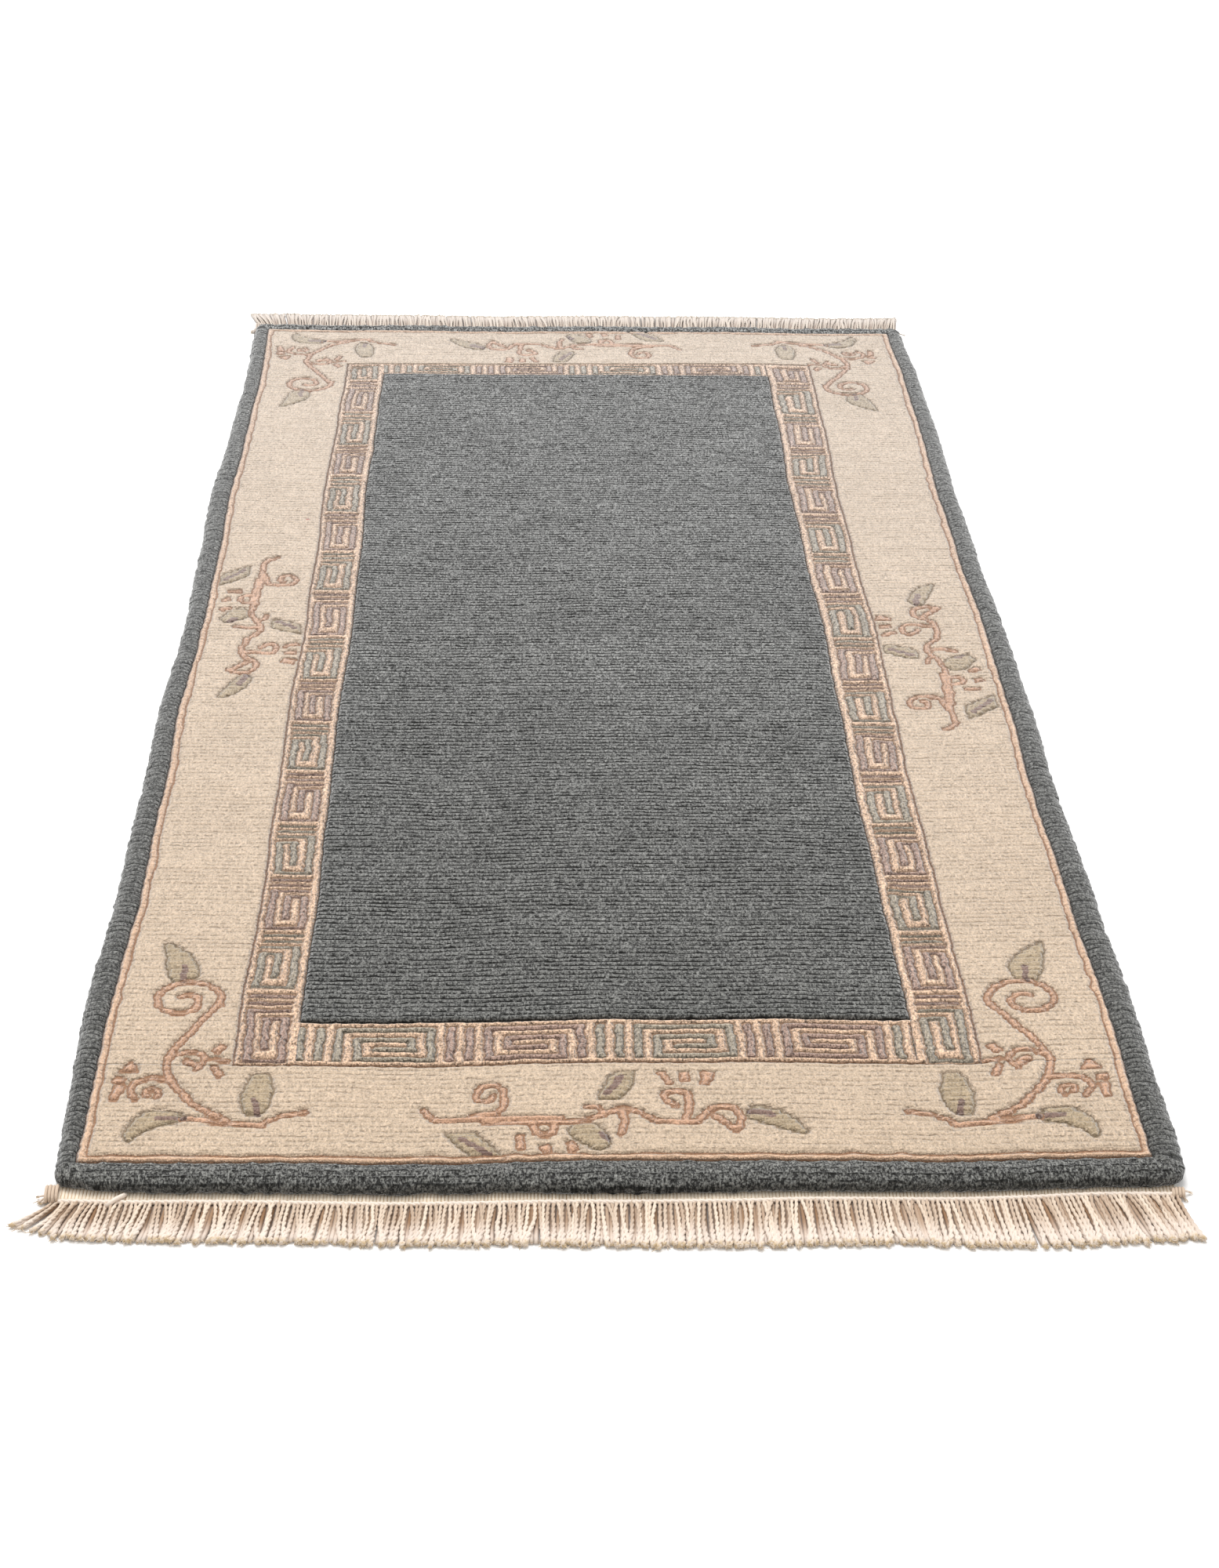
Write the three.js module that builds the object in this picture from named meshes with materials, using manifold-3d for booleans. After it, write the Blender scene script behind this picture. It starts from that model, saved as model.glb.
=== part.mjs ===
// Hand-knotted wool rug with a plain field, a key border, a pale outer border and knotted-end fringes.
// Units are millimetres. X runs across the rug, Y along it, Z up from the floor.
import * as THREE from "three";
import { mergeVertices } from "three/addons/utils/BufferGeometryUtils.js";
import Module from "manifold-3d";

const wasm = await Module();
wasm.setup();

// Pile: the cut wool, knotted on its foundation, as one flat slab.
const PILE_WIDTH = 700;
const PILE_LENGTH = 1359;
const PILE_HEIGHT = 13;
const CORNER_RADIUS = 7;
// How far the tufts lean out past the foundation's edge.
const TUFT_OVERHANG = 2.2;

// Section of the pile's rounded rim, from the floor up, as a step out from the foundation's edge.
const RIM = [
  { z: 0, out: -0.8 },
  { z: 1.2, out: 0 },
  { z: 3.6, out: 0 },
  { z: 6.6, out: TUFT_OVERHANG },
  { z: 10, out: 1.7 },
  { z: 12.2, out: -1.6 },
];
const TOP_STEP_IN = 6;

// Lines clipped between the colour bands, as distances from the rug's middle.
const BANDS = {
  outerEdge: { left: -336, right: 336, front: -665.5, back: 665.5, depth: 1.5 },
  keyBorder: { left: -248, right: 240.5, front: -572.5, back: 576.5, depth: 1.2 },
  field: { left: -208, right: 196, front: -527.5, back: 547.5, depth: 1.6 },
};
const BAND_LINES = Object.values(BANDS);
const CLIP_HALF_WIDTH = 2.4;
const GRID_STEP = 42;

// Woven end: the flat ribbed strip past the last row of knots.
const WEB_DEPTH = 7.4;
const WEB_HEIGHT = 2.4;
// Corners of its section, as shares of its depth and height.
const WEB_SECTION = [
  { out: 0, z: 0 },
  { out: 1, z: 0 },
  { out: 1, z: 0.8 },
  { out: 0.5, z: 1 },
  { out: 0, z: 0.9 },
];

// Twined cord that locks the woven end, and the warp strands that hang from it.
const PARTING = 0.3;
const CORD_DEPTH = 3.4;
const CORD_HEIGHT = 2.8;
const CORD_HALF_WIDTH = 348;
const CORD_SECTION = [
  { out: 0, z: 0 },
  { out: 1, z: 0 },
  { out: 1, z: 0.55 },
  { out: 0.65, z: 1 },
  { out: 0.35, z: 1 },
  { out: 0, z: 0.55 },
];
const STRANDS_PER_END = 150;
const STRAND_WIDTH = 2.5;
const STRAND_HEIGHT = 2.1;
const STRAND_TIP_SHARE = 0.74;
const STRAND_ROOT_LIFT = 0.4;
const STRAND_ROOT_DEPTH = 1.4;
// Each strand's own wander and spread of length, by its number along the cord.
const STRAND_WANDER = { size: 0.45, turn: 2.39 };
const STRAND_SPREAD = [{ size: 1.6, turn: 2.7 }, { size: 0.8, turn: 1.13 }];
const FRONT_STRAND_LENGTH = 42;
const BACK_STRAND_LENGTH = 44;
// Places along a strand, as shares of its length and of its lean.
const STRAND_STATIONS = [
  { along: 0.4, lean: 0.31 },
  { along: 1, lean: 1 },
];
// Sideways lean of the strand tips, by place across the rug from -1 at the left to 1 at the right.
const FRONT_LEAN = [
  { place: -1, lean: -20 },
  { place: -0.9, lean: -10 },
  { place: -0.55, lean: -6 },
  { place: 0, lean: -3 },
  { place: 0.4, lean: 2 },
  { place: 0.78, lean: 17 },
  { place: 1, lean: 12 },
];
const BACK_LEAN = [
  { place: -1, lean: -9 },
  { place: -0.8, lean: 2 },
  { place: -0.1, lean: -3 },
  { place: 0.4, lean: 4 },
  { place: 0.75, lean: 6 },
  { place: 1, lean: 2 },
];

// Wrapped knot of edge warps at each end of the cord.
const BUNDLE = {
  halfWidth: 5.2,
  halfDepth: 4.6,
  halfHeight: 3.2,
  flatBelow: 0.6,
  detail: 1,
  placeX: 347.6,
};

// Slow wander of the hand-beaten edges.
const WANDERS = {
  left: [{ size: 1.3, wave: 420, phase: 0.4 }, { size: 0.7, wave: 193, phase: 2.2 }],
  right: [{ size: 1.5, wave: 510, phase: 1.9 }, { size: 0.6, wave: 179, phase: 0.7 }],
  front: [{ size: 1.4, wave: 350, phase: 1.1 }, { size: 0.6, wave: 168, phase: 2.9 }],
  back: [{ size: 1.2, wave: 390, phase: 0.2 }, { size: 0.7, wave: 171, phase: 1.6 }],
};
const TOP_UNEVENNESS = [
  { size: 0.32, waveX: 260, waveY: 340, phase: 0.8 },
  { size: 0.2, waveX: 113, waveY: 190, phase: 2.1 },
];

const WOOL = { roughness: 0.95, metalness: 0 };
const PILE_COLOUR = 0x6d7a78;
const COTTON_COLOUR = 0xe6d8bd;
const FRINGE_COLOUR = 0xe9ddc8;

function wander(waves, at) {
  return waves.reduce((sum, w) => sum + w.size * Math.sin((2 * Math.PI * at) / w.wave + w.phase), 0);
}

function drifted(x, y) {
  const across = x / PILE_WIDTH + 0.5;
  const along = y / PILE_LENGTH + 0.5;
  const dx = THREE.MathUtils.lerp(wander(WANDERS.left, y), wander(WANDERS.right, y), across);
  const dy = THREE.MathUtils.lerp(wander(WANDERS.front, x), wander(WANDERS.back, x), along);
  return { x: x + dx, y: y + dy };
}

function lineDistance(line, x, y) {
  const dx = Math.max(line.left - x, x - line.right);
  const dy = Math.max(line.front - y, y - line.back);
  return Math.abs(Math.max(dx, dy));
}

function topHeight(x, y) {
  let z = PILE_HEIGHT;
  for (const u of TOP_UNEVENNESS) {
    z += u.size * Math.sin((2 * Math.PI * x) / u.waveX + u.phase) * Math.sin((2 * Math.PI * y) / u.waveY);
  }
  for (const line of BAND_LINES) {
    z -= line.depth * Math.max(0, 1 - lineDistance(line, x, y) / CLIP_HALF_WIDTH);
  }
  return z;
}

// Grid lines from low to high that take in each clipped line and both its sides.
function gridLines(low, high, clipped) {
  const fixed = [low, high];
  for (const at of clipped) {
    fixed.push(at - CLIP_HALF_WIDTH, at, at + CLIP_HALF_WIDTH);
  }
  fixed.sort((a, b) => a - b);
  const lines = [fixed[0]];
  for (let i = 1; i < fixed.length; i += 1) {
    const steps = Math.max(1, Math.round((fixed[i] - fixed[i - 1]) / GRID_STEP));
    for (let s = 1; s <= steps; s += 1) {
      lines.push(THREE.MathUtils.lerp(fixed[i - 1], fixed[i], s / steps));
    }
  }
  return lines;
}

function closedGeometry(positions, indices) {
  const geometry = new THREE.BufferGeometry();
  geometry.setAttribute("position", new THREE.Float32BufferAttribute(positions, 3));
  geometry.setIndex(indices);
  return geometry;
}

// Two numbers closer than this are the same place.
const SAME_PLACE = 1e-4;
// Stations along a bar are no nearer its ends than this.
const LEAST_STEP = 1;

// The foundation's edge, and the grid of the top face inside it.
const EDGE_X = PILE_WIDTH / 2 - TUFT_OVERHANG;
const EDGE_Y = PILE_LENGTH / 2 - TUFT_OVERHANG;
const STRAIGHT_X = EDGE_X - CORNER_RADIUS;
const STRAIGHT_Y = EDGE_Y - CORNER_RADIUS;
const TOP_X = EDGE_X - TOP_STEP_IN;
const TOP_Y = EDGE_Y - TOP_STEP_IN;
const COLUMNS = gridLines(-TOP_X, TOP_X, BAND_LINES.flatMap((l) => [l.left, l.right]));
const ROWS = gridLines(-TOP_Y, TOP_Y, BAND_LINES.flatMap((l) => [l.front, l.back]));

// A point of the rim beside a point of the grid's boundary. Corners are cut across their arc.
function rimPoint(x, y, out) {
  const onSide = Math.abs(Math.abs(x) - TOP_X) < SAME_PLACE;
  const onEnd = Math.abs(Math.abs(y) - TOP_Y) < SAME_PLACE;
  if (onSide && onEnd) {
    const reach = (CORNER_RADIUS + out) * Math.SQRT1_2;
    return { x: Math.sign(x) * (STRAIGHT_X + reach), y: Math.sign(y) * (STRAIGHT_Y + reach) };
  }
  if (onSide) {
    return { x: Math.sign(x) * (EDGE_X + out), y: THREE.MathUtils.clamp(y, -STRAIGHT_Y, STRAIGHT_Y) };
  }
  return { x: THREE.MathUtils.clamp(x, -STRAIGHT_X, STRAIGHT_X), y: Math.sign(y) * (EDGE_Y + out) };
}

// The top face's grid points, row by row from the front.
function topPoints() {
  const points = [];
  for (const y of ROWS) {
    for (const x of COLUMNS) {
      const p = drifted(x, y);
      points.push(p.x, p.y, topHeight(x, y));
    }
  }
  return points;
}

function topFaces() {
  const wide = COLUMNS.length;
  const faces = [];
  for (let j = 0; j < ROWS.length - 1; j += 1) {
    for (let i = 0; i < wide - 1; i += 1) {
      const a = j * wide + i;
      faces.push(a, a + 1, a + wide + 1, a, a + wide + 1, a + wide);
    }
  }
  return faces;
}

// The grid's boundary as column and row numbers, anticlockwise seen from above.
function topBoundary() {
  const lastColumn = COLUMNS.length - 1;
  const lastRow = ROWS.length - 1;
  const boundary = [];
  for (let i = 0; i < lastColumn; i += 1) {
    boundary.push([i, 0]);
  }
  for (let j = 0; j < lastRow; j += 1) {
    boundary.push([lastColumn, j]);
  }
  for (let i = lastColumn; i > 0; i -= 1) {
    boundary.push([i, lastRow]);
  }
  for (let j = lastRow; j > 0; j -= 1) {
    boundary.push([0, j]);
  }
  return boundary;
}

function pileGeometry() {
  const positions = topPoints();
  const indices = topFaces();
  const boundary = topBoundary();
  let upper = boundary.map(([i, j]) => j * COLUMNS.length + i);
  let outlinePoints = [];
  for (const step of [...RIM].reverse()) {
    const ring = [];
    outlinePoints = [];
    for (const [i, j] of boundary) {
      const r = rimPoint(COLUMNS[i], ROWS[j], step.out);
      const p = drifted(r.x, r.y);
      ring.push(positions.length / 3);
      outlinePoints.push(new THREE.Vector2(p.x, p.y));
      positions.push(p.x, p.y, step.z);
    }
    for (let k = 0; k < ring.length; k += 1) {
      const next = (k + 1) % ring.length;
      indices.push(upper[k], ring[k], ring[next], upper[k], ring[next], upper[next]);
    }
    upper = ring;
  }
  for (const [a, b, c] of THREE.ShapeUtils.triangulateShape(outlinePoints, [])) {
    indices.push(upper[a], upper[c], upper[b]);
  }
  return closedGeometry(positions, indices);
}

// A point past the foundation's edge at one end, by its step out from that edge.
function pastEdge(end, x, out) {
  const p = drifted(x, end * EDGE_Y);
  return { x: p.x, y: p.y + end * out };
}

// A bar that follows the foundation's edge across the rug, from section corners { out, z }.
// Its stations are the pile's own columns, so that the two stay parallel.
function edgeBar(end, halfWidth, section) {
  const places = [-halfWidth, ...COLUMNS.filter((x) => Math.abs(x) < halfWidth - LEAST_STEP), halfWidth];
  const stations = places.length - 1;
  const positions = [];
  const indices = [];
  const sides = section.length;
  for (const x of places) {
    for (const corner of section) {
      const p = pastEdge(end, x, corner.out);
      positions.push(p.x, p.y, corner.z);
    }
  }
  for (let s = 0; s < stations; s += 1) {
    for (let k = 0; k < sides; k += 1) {
      const a = s * sides + k;
      const b = s * sides + ((k + 1) % sides);
      indices.push(a, b, b + sides, a, b + sides, a + sides);
    }
  }
  for (let k = 1; k < sides - 1; k += 1) {
    indices.push(0, k + 1, k);
    const last = stations * sides;
    indices.push(last, last + k, last + k + 1);
  }
  return facingOut(closedGeometry(positions, indices), end);
}

// The two ends mirror each other, so one of them is wound the other way.
function facingOut(geometry, end) {
  if (end > 0) return geometry;
  const index = geometry.getIndex();
  for (let i = 0; i < index.count; i += 3) {
    const b = index.getX(i + 1);
    index.setX(i + 1, index.getX(i + 2));
    index.setX(i + 2, b);
  }
  return geometry;
}

const CORD_START = PARTING * 2 + WEB_DEPTH;
const FRINGE_START = CORD_START + CORD_DEPTH;

// A section's corners at their real size, from its start past the foundation's edge.
function sized(section, start, depth, height) {
  return section.map((corner) => ({ out: start + corner.out * depth, z: corner.z * height }));
}

function webGeometry(end) {
  return edgeBar(end, STRAIGHT_X, sized(WEB_SECTION, PARTING, WEB_DEPTH, WEB_HEIGHT));
}

function cordGeometry(end) {
  return edgeBar(end, CORD_HALF_WIDTH, sized(CORD_SECTION, CORD_START, CORD_DEPTH, CORD_HEIGHT));
}

function leanAt(table, place) {
  let k = 0;
  while (k < table.length - 2 && place > table[k + 1].place) k += 1;
  const low = table[k];
  const high = table[k + 1];
  const share = THREE.MathUtils.clamp((place - low.place) / (high.place - low.place), 0, 1);
  return THREE.MathUtils.lerp(low.lean, high.lean, THREE.MathUtils.smoothstep(share, 0, 1));
}

// One strand: a three-sided tapering yarn whose flat side lies on the floor.
function strandGeometry(end, rootX, number, length, leanTable) {
  const root = pastEdge(end, rootX, FRINGE_START);
  const lean = leanAt(leanTable, rootX / CORD_HALF_WIDTH);
  const trueLength = STRAND_SPREAD.reduce((sum, s) => sum + s.size * Math.sin(number * s.turn), length);
  const wobble = STRAND_WANDER.size * Math.sin(number * STRAND_WANDER.turn);
  const places = [{ x: root.x, y: root.y - end * STRAND_ROOT_DEPTH, lift: STRAND_ROOT_LIFT, share: 1 }];
  for (const station of STRAND_STATIONS) {
    places.push({
      x: root.x + lean * station.lean + wobble * station.along,
      y: root.y + end * trueLength * station.along,
      lift: 0,
      share: THREE.MathUtils.lerp(1, STRAND_TIP_SHARE, station.along),
    });
  }
  const positions = [];
  const indices = [];
  for (const p of places) {
    const half = (STRAND_WIDTH / 2) * p.share;
    positions.push(p.x - half, p.y, p.lift);
    positions.push(p.x + half, p.y, p.lift);
    positions.push(p.x, p.y, p.lift + STRAND_HEIGHT * p.share);
  }
  for (let s = 0; s < places.length - 1; s += 1) {
    for (let k = 0; k < 3; k += 1) {
      const a = s * 3 + k;
      const b = s * 3 + ((k + 1) % 3);
      indices.push(a, b + 3, b, a, a + 3, b + 3);
    }
  }
  const last = (places.length - 1) * 3;
  indices.push(0, 1, 2, last, last + 2, last + 1);
  return facingOut(closedGeometry(positions, indices), end);
}

function bundleGeometry(end, side) {
  const lump = new THREE.IcosahedronGeometry(1, BUNDLE.detail);
  lump.scale(BUNDLE.halfWidth, BUNDLE.halfDepth, BUNDLE.halfHeight);
  const place = pastEdge(end, side * BUNDLE.placeX, FRINGE_START - BUNDLE.halfDepth);
  lump.translate(place.x, place.y, BUNDLE.halfHeight);
  return flattened(lump);
}

// Nothing lies below the floor: the lump's lowest points are set on it.
function flattened(geometry) {
  const position = geometry.getAttribute("position");
  for (let i = 0; i < position.count; i += 1) {
    if (position.getZ(i) < BUNDLE.flatBelow) position.setZ(i, 0);
  }
  return geometry;
}

function toSolid(geometry) {
  const bare = geometry.clone();
  bare.deleteAttribute("normal");
  bare.deleteAttribute("uv");
  const merged = mergeVertices(bare, SAME_PLACE);
  return new wasm.Manifold(new wasm.Mesh({
    numProp: 3,
    vertProperties: new Float32Array(merged.getAttribute("position").array),
    triVerts: new Uint32Array(merged.getIndex().array),
  }));
}

function toGeometry(solid) {
  const mesh = solid.getMesh();
  return closedGeometry(Array.from(mesh.vertProperties), Array.from(mesh.triVerts));
}

function fringeGeometry(end, length, leanTable) {
  let solid = toSolid(cordGeometry(end));
  for (const side of [-1, 1]) {
    solid = solid.add(toSolid(bundleGeometry(end, side)));
  }
  const pitch = (2 * CORD_HALF_WIDTH) / STRANDS_PER_END;
  for (let number = 0; number < STRANDS_PER_END; number += 1) {
    const rootX = -CORD_HALF_WIDTH + pitch * (number + 0.5);
    solid = solid.add(toSolid(strandGeometry(end, rootX, number, length, leanTable)));
  }
  return toGeometry(solid);
}

function named(name, geometry, colour) {
  const mesh = new THREE.Mesh(geometry, new THREE.MeshStandardMaterial({ color: colour, ...WOOL }));
  mesh.name = name;
  return mesh;
}

const FRONT = -1;
const BACK = 1;

const rug = new THREE.Group();
rug.add(named("pile", pileGeometry(), PILE_COLOUR));
rug.add(named("woven_end_front", webGeometry(FRONT), COTTON_COLOUR));
rug.add(named("woven_end_back", webGeometry(BACK), COTTON_COLOUR));
rug.add(named("fringe_front", fringeGeometry(FRONT, FRONT_STRAND_LENGTH, FRONT_LEAN), FRINGE_COLOUR));
rug.add(named("fringe_back", fringeGeometry(BACK, BACK_STRAND_LENGTH, BACK_LEAN), FRINGE_COLOUR));

// The origin is the middle of the rug's whole outline, on the floor.
const outline = new THREE.Box3().setFromObject(rug);
const middle = outline.getCenter(new THREE.Vector3());
rug.position.set(-middle.x, -middle.y, -outline.min.z);
rug.updateMatrixWorld(true);

export default rug;
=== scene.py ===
"""Looks of a hand-knotted wool rug with woven ends and fringes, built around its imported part.

Lengths are millimetres unless a name says otherwise. X runs across the rug, Y along it, Z up.
Places on the pattern are u and v, from the outer front left corner of the thin line that runs
inside the rug's edge: u to the right and v to the back.
"""

import math

import bpy
import numpy as np
from mathutils import Matrix, Vector


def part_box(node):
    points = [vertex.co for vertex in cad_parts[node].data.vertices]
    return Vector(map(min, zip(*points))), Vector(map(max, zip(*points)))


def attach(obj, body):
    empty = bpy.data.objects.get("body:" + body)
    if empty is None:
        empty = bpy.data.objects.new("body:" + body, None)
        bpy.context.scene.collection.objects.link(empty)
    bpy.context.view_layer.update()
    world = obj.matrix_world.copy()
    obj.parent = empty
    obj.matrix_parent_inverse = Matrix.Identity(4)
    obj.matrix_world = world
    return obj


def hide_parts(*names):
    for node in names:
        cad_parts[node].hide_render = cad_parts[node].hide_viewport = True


bl_info = {
    "name": "Fringed pile rug",
    "version": (1, 0, 0),
    "blender": (4, 5, 0),
    "location": "View3D > Sidebar > Rug",
    "description": "Builds the wool, cotton and light of a fringed pile rug around its packed part",
    "category": "Object",
}

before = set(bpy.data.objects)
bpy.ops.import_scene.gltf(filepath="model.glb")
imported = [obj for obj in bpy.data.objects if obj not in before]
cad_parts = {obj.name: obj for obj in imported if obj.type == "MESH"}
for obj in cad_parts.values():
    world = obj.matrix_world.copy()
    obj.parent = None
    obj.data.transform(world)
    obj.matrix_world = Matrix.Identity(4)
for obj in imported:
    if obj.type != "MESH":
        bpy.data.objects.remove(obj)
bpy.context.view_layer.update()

# One millimetre in metres.
MM = 0.001
BODY = "root"

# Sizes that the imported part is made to.
PILE_WIDTH = 700
PILE_LENGTH = 1359
CORNER_RADIUS = 7
TUFT_OVERHANG = 2.2
EDGE_X = PILE_WIDTH / 2 - TUFT_OVERHANG
EDGE_Y = PILE_LENGTH / 2 - TUFT_OVERHANG
STRAIGHT_X = EDGE_X - CORNER_RADIUS
PARTING = 0.3
WEB_DEPTH = 7.4
CORD_DEPTH = 3.4
CORD_HALF_WIDTH = 348
CORD_START = PARTING * 2 + WEB_DEPTH
FRINGE_START = CORD_START + CORD_DEPTH

# Slow wander of the hand-beaten edges: size, wave length and phase.
WANDERS = {
    "left": ((1.3, 420, 0.4), (0.7, 193, 2.2)),
    "right": ((1.5, 510, 1.9), (0.6, 179, 0.7)),
    "front": ((1.4, 350, 1.1), (0.6, 168, 2.9)),
    "back": ((1.2, 390, 0.2), (0.7, 171, 1.6)),
}
TOP_UNEVENNESS = ((0.32, 260, 340, 0.8), (0.2, 113, 190, 2.1))

# The thin line's outer rectangle, which u and v start from.
LINE_WIDTH = 672
LINE_LENGTH = 1331
# Knot rows lie across the rug, with three mesh lines to a row.
ROW_COUNT = 280
ROW = LINE_LENGTH / ROW_COUNT
LINES_PER_ROW = 3
STEP = ROW / LINES_PER_ROW

# Colour bands, across the rug in millimetres and along it in whole knot rows.
KEY_LEFT = 88
KEY_RIGHT = 576.5
FIELD_LEFT = 128
FIELD_RIGHT = 532
KEY_FRONT_ROW = 20
FIELD_FRONT_ROW = 29
FIELD_BACK_ROW = 255
KEY_BACK_ROW = 261
THIN_LINE = 5.6

GROUND_HEIGHT = 1.5


def fade(t):
    """A smooth rise from 0 to 1."""
    return t * t * (3 - 2 * t)


def ramp(value, low, high):
    """0 below low, 1 above high, and a smooth rise between them."""
    return fade(np.clip((value - low) / (high - low), 0, 1))


def chance(i, j, seed):
    """A fixed random number from 0 to 1 for each pair of whole numbers."""
    mixed = (i * 374761393 + j * 668265263 + seed * 974634777) & 0xFFFFFFFF
    mixed = ((mixed ^ (mixed >> 13)) * 1274126177) & 0xFFFFFFFF
    return (mixed ^ (mixed >> 16)) / 0xFFFFFFFF


def drift_noise(x, y, size_x, size_y, seed):
    """Soft bumps of about that size, from -1 to 1."""
    gx = np.asarray(x, float) / size_x
    gy = np.asarray(y, float) / size_y
    i = np.floor(gx).astype(np.int64)
    j = np.floor(gy).astype(np.int64)
    fx = fade(gx - i)
    fy = fade(gy - j)
    near = chance(i, j, seed) * (1 - fx) + chance(i + 1, j, seed) * fx
    far = chance(i, j + 1, seed) * (1 - fx) + chance(i + 1, j + 1, seed) * fx
    return 2 * (near * (1 - fy) + far * fy) - 1


def bumps(x, y, noises):
    """Sum of soft noises, each given as (height, size across, size along, seed)."""
    return sum(height * drift_noise(x, y, across, along, seed) for height, across, along, seed in noises)


def wander(waves, at):
    """Sum of waves, each given as (size, wave length, phase)."""
    return sum(size * np.sin(2 * math.pi * at / wave + phase) for size, wave, phase in waves)


def drifted(x, y):
    """A straight place of the pile, moved with its wandering edges."""
    across = x / PILE_WIDTH + 0.5
    along = y / PILE_LENGTH + 0.5
    dx = wander(WANDERS["left"], y) * (1 - across) + wander(WANDERS["right"], y) * across
    dy = wander(WANDERS["front"], x) * (1 - along) + wander(WANDERS["back"], x) * along
    return x + dx, y + dy


def frame_shift():
    """Where the pile's own middle lies in the frame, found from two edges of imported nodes."""
    web_left = drifted(-STRAIGHT_X, -EDGE_Y)[0]
    across = np.linspace(-STRAIGHT_X, STRAIGHT_X, 200)
    pile_back = drifted(across, np.full_like(across, EDGE_Y + TUFT_OVERHANG))[1].max()
    shift_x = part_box("woven_end_front")[0].x / MM - web_left
    shift_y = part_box("pile")[1].y / MM - pile_back
    return shift_x, shift_y


SHIFT_X, SHIFT_Y = frame_shift()


def placed(x, y, z):
    """Points in metres in the frame, from places in millimetres from the pile's own middle."""
    px, py = drifted(x, y)
    return np.stack([px + SHIFT_X, py + SHIFT_Y, z], axis=-1) * MM


def top_unevenness(x, y):
    """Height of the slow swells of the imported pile's top."""
    return sum(
        size * np.sin(2 * math.pi * x / wave_x + phase) * np.sin(2 * math.pi * y / wave_y)
        for size, wave_x, wave_y, phase in TOP_UNEVENNESS
    )


# Strokes and shapes of the pattern

# Depth given to places that no shape comes near.
OUTSIDE = -30.0
# How far round a stroke or a bar its depths are worked out.
STROKE_REACH = 8
BAR_REACH = 7
# Points of a leaf's or a curl's outline.
LEAF_POINTS = 13
CURL_POINTS = 28


def rounded_path(points, steps=6, closed=False):
    """A smooth line through the points."""
    p = np.array(points, float)
    count = len(p)
    if closed:
        p = np.vstack([p[-1:], p, p[:2]])
    else:
        p = np.vstack([2 * p[:1] - p[1:2], p, 2 * p[-1:] - p[-2:-1]])
    t = (np.arange(steps) / steps)[:, None]
    pieces = []
    for k in range(count if closed else count - 1):
        a, b, c, d = p[k], p[k + 1], p[k + 2], p[k + 3]
        pieces.append(
            0.5 * (2 * b + (c - a) * t + (2 * a - 5 * b + 4 * c - d) * t**2 + (3 * b - a - 3 * c + d) * t**3)
        )
    if not closed:
        pieces.append(p[-2:-1])
    return np.vstack(pieces)


def distance_to_line(u, v, path):
    """Distance to a line of short straight stretches."""
    best = np.full(u.shape, 1e9)
    for (ax, ay), (bx, by) in zip(path[:-1], path[1:]):
        dx, dy = bx - ax, by - ay
        along = ((u - ax) * dx + (v - ay) * dy) / max(dx * dx + dy * dy, 1e-9)
        along = np.clip(along, 0, 1)
        best = np.minimum(best, (u - ax - along * dx) ** 2 + (v - ay - along * dy) ** 2)
    return np.sqrt(best)


def inside_outline(u, v, path):
    """Whether a place lies inside a closed outline: an odd number of its sides lie to the right."""
    inside = np.zeros(u.shape, bool)
    for (ax, ay), (bx, by) in zip(path, np.roll(path, -1, axis=0)):
        if ay == by:
            continue
        crosses = (ay > v) != (by > v)
        inside ^= crosses & (u < (bx - ax) * (v - ay) / (by - ay) + ax)
    return inside


def drawn(field, u, v, path, half_width=None):
    """Adds a stroke, or a filled outline where no width is given, to a field of depths inside it."""
    reach = STROKE_REACH + (half_width or 0)
    near = (u > path[:, 0].min() - reach) & (u < path[:, 0].max() + reach)
    near &= (v > path[:, 1].min() - reach) & (v < path[:, 1].max() + reach)
    if not near.any():
        return
    un, vn = u[near], v[near]
    if half_width is None:
        depth = distance_to_line(un, vn, np.vstack([path, path[:1]]))
        depth = np.where(inside_outline(un, vn, path), depth, -depth)
    else:
        depth = half_width - distance_to_line(un, vn, path)
    field[near] = np.maximum(field[near], depth)


def box_depth(u, v, box):
    """Depth inside a rectangle of (low u, high u, low v, high v)."""
    return np.minimum(np.minimum(u - box[0], box[1] - u), np.minimum(v - box[2], box[3] - v))


# Vines of the pale border

# Widths of the vines' main stems and side curls.
STEM = 4.7
CURL = 4.1


def curl(middle, radius, squeeze, first, turns, inner=0.2):
    """A spiral that winds inward from an angle in degrees. A minus turns clockwise."""
    t = np.linspace(0, 1, CURL_POINTS)
    angle = math.radians(first) + 2 * math.pi * turns * t
    reach = radius * (1 - (1 - inner) * t)
    return [(middle[0] + r * squeeze * math.cos(a), middle[1] + r * math.sin(a))
            for a, r in zip(angle, reach)]


def leaf(base, tip, width, bend=0.0, widest=0.42, base_width=2.0, tip_width=0.0, level=False):
    """Outline of a leaf: its middle line bends sideways, and a level leaf's ends lie along the border."""
    base, tip = np.array(base, float), np.array(tip, float)
    t = np.linspace(0, 1, LEAF_POINTS)
    ahead = tip - base
    side = np.array([ahead[1], -ahead[0]]) / np.linalg.norm(ahead)
    middle = base + ahead * t[:, None] + side * (4 * bend * t * (1 - t))[:, None]
    swell = np.sin(math.pi * t ** (math.log(0.5) / math.log(widest))) ** 0.8
    half = (base_width * (1 - t) + tip_width * t + (width - (base_width + tip_width) / 2) * swell) / 2
    across = np.array([1.0, 0.0]) if level else side
    left = middle - across * half[:, None]
    right = middle + across * half[:, None]
    return np.vstack([left, right[::-1]]).tolist()


def dab(start, end, start_width, end_width):
    """Outline of a short petal, as wide as given at its two ends."""
    return leaf(start, end, (start_width + end_width) / 2, 0, 0.5, start_width, end_width)


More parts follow.
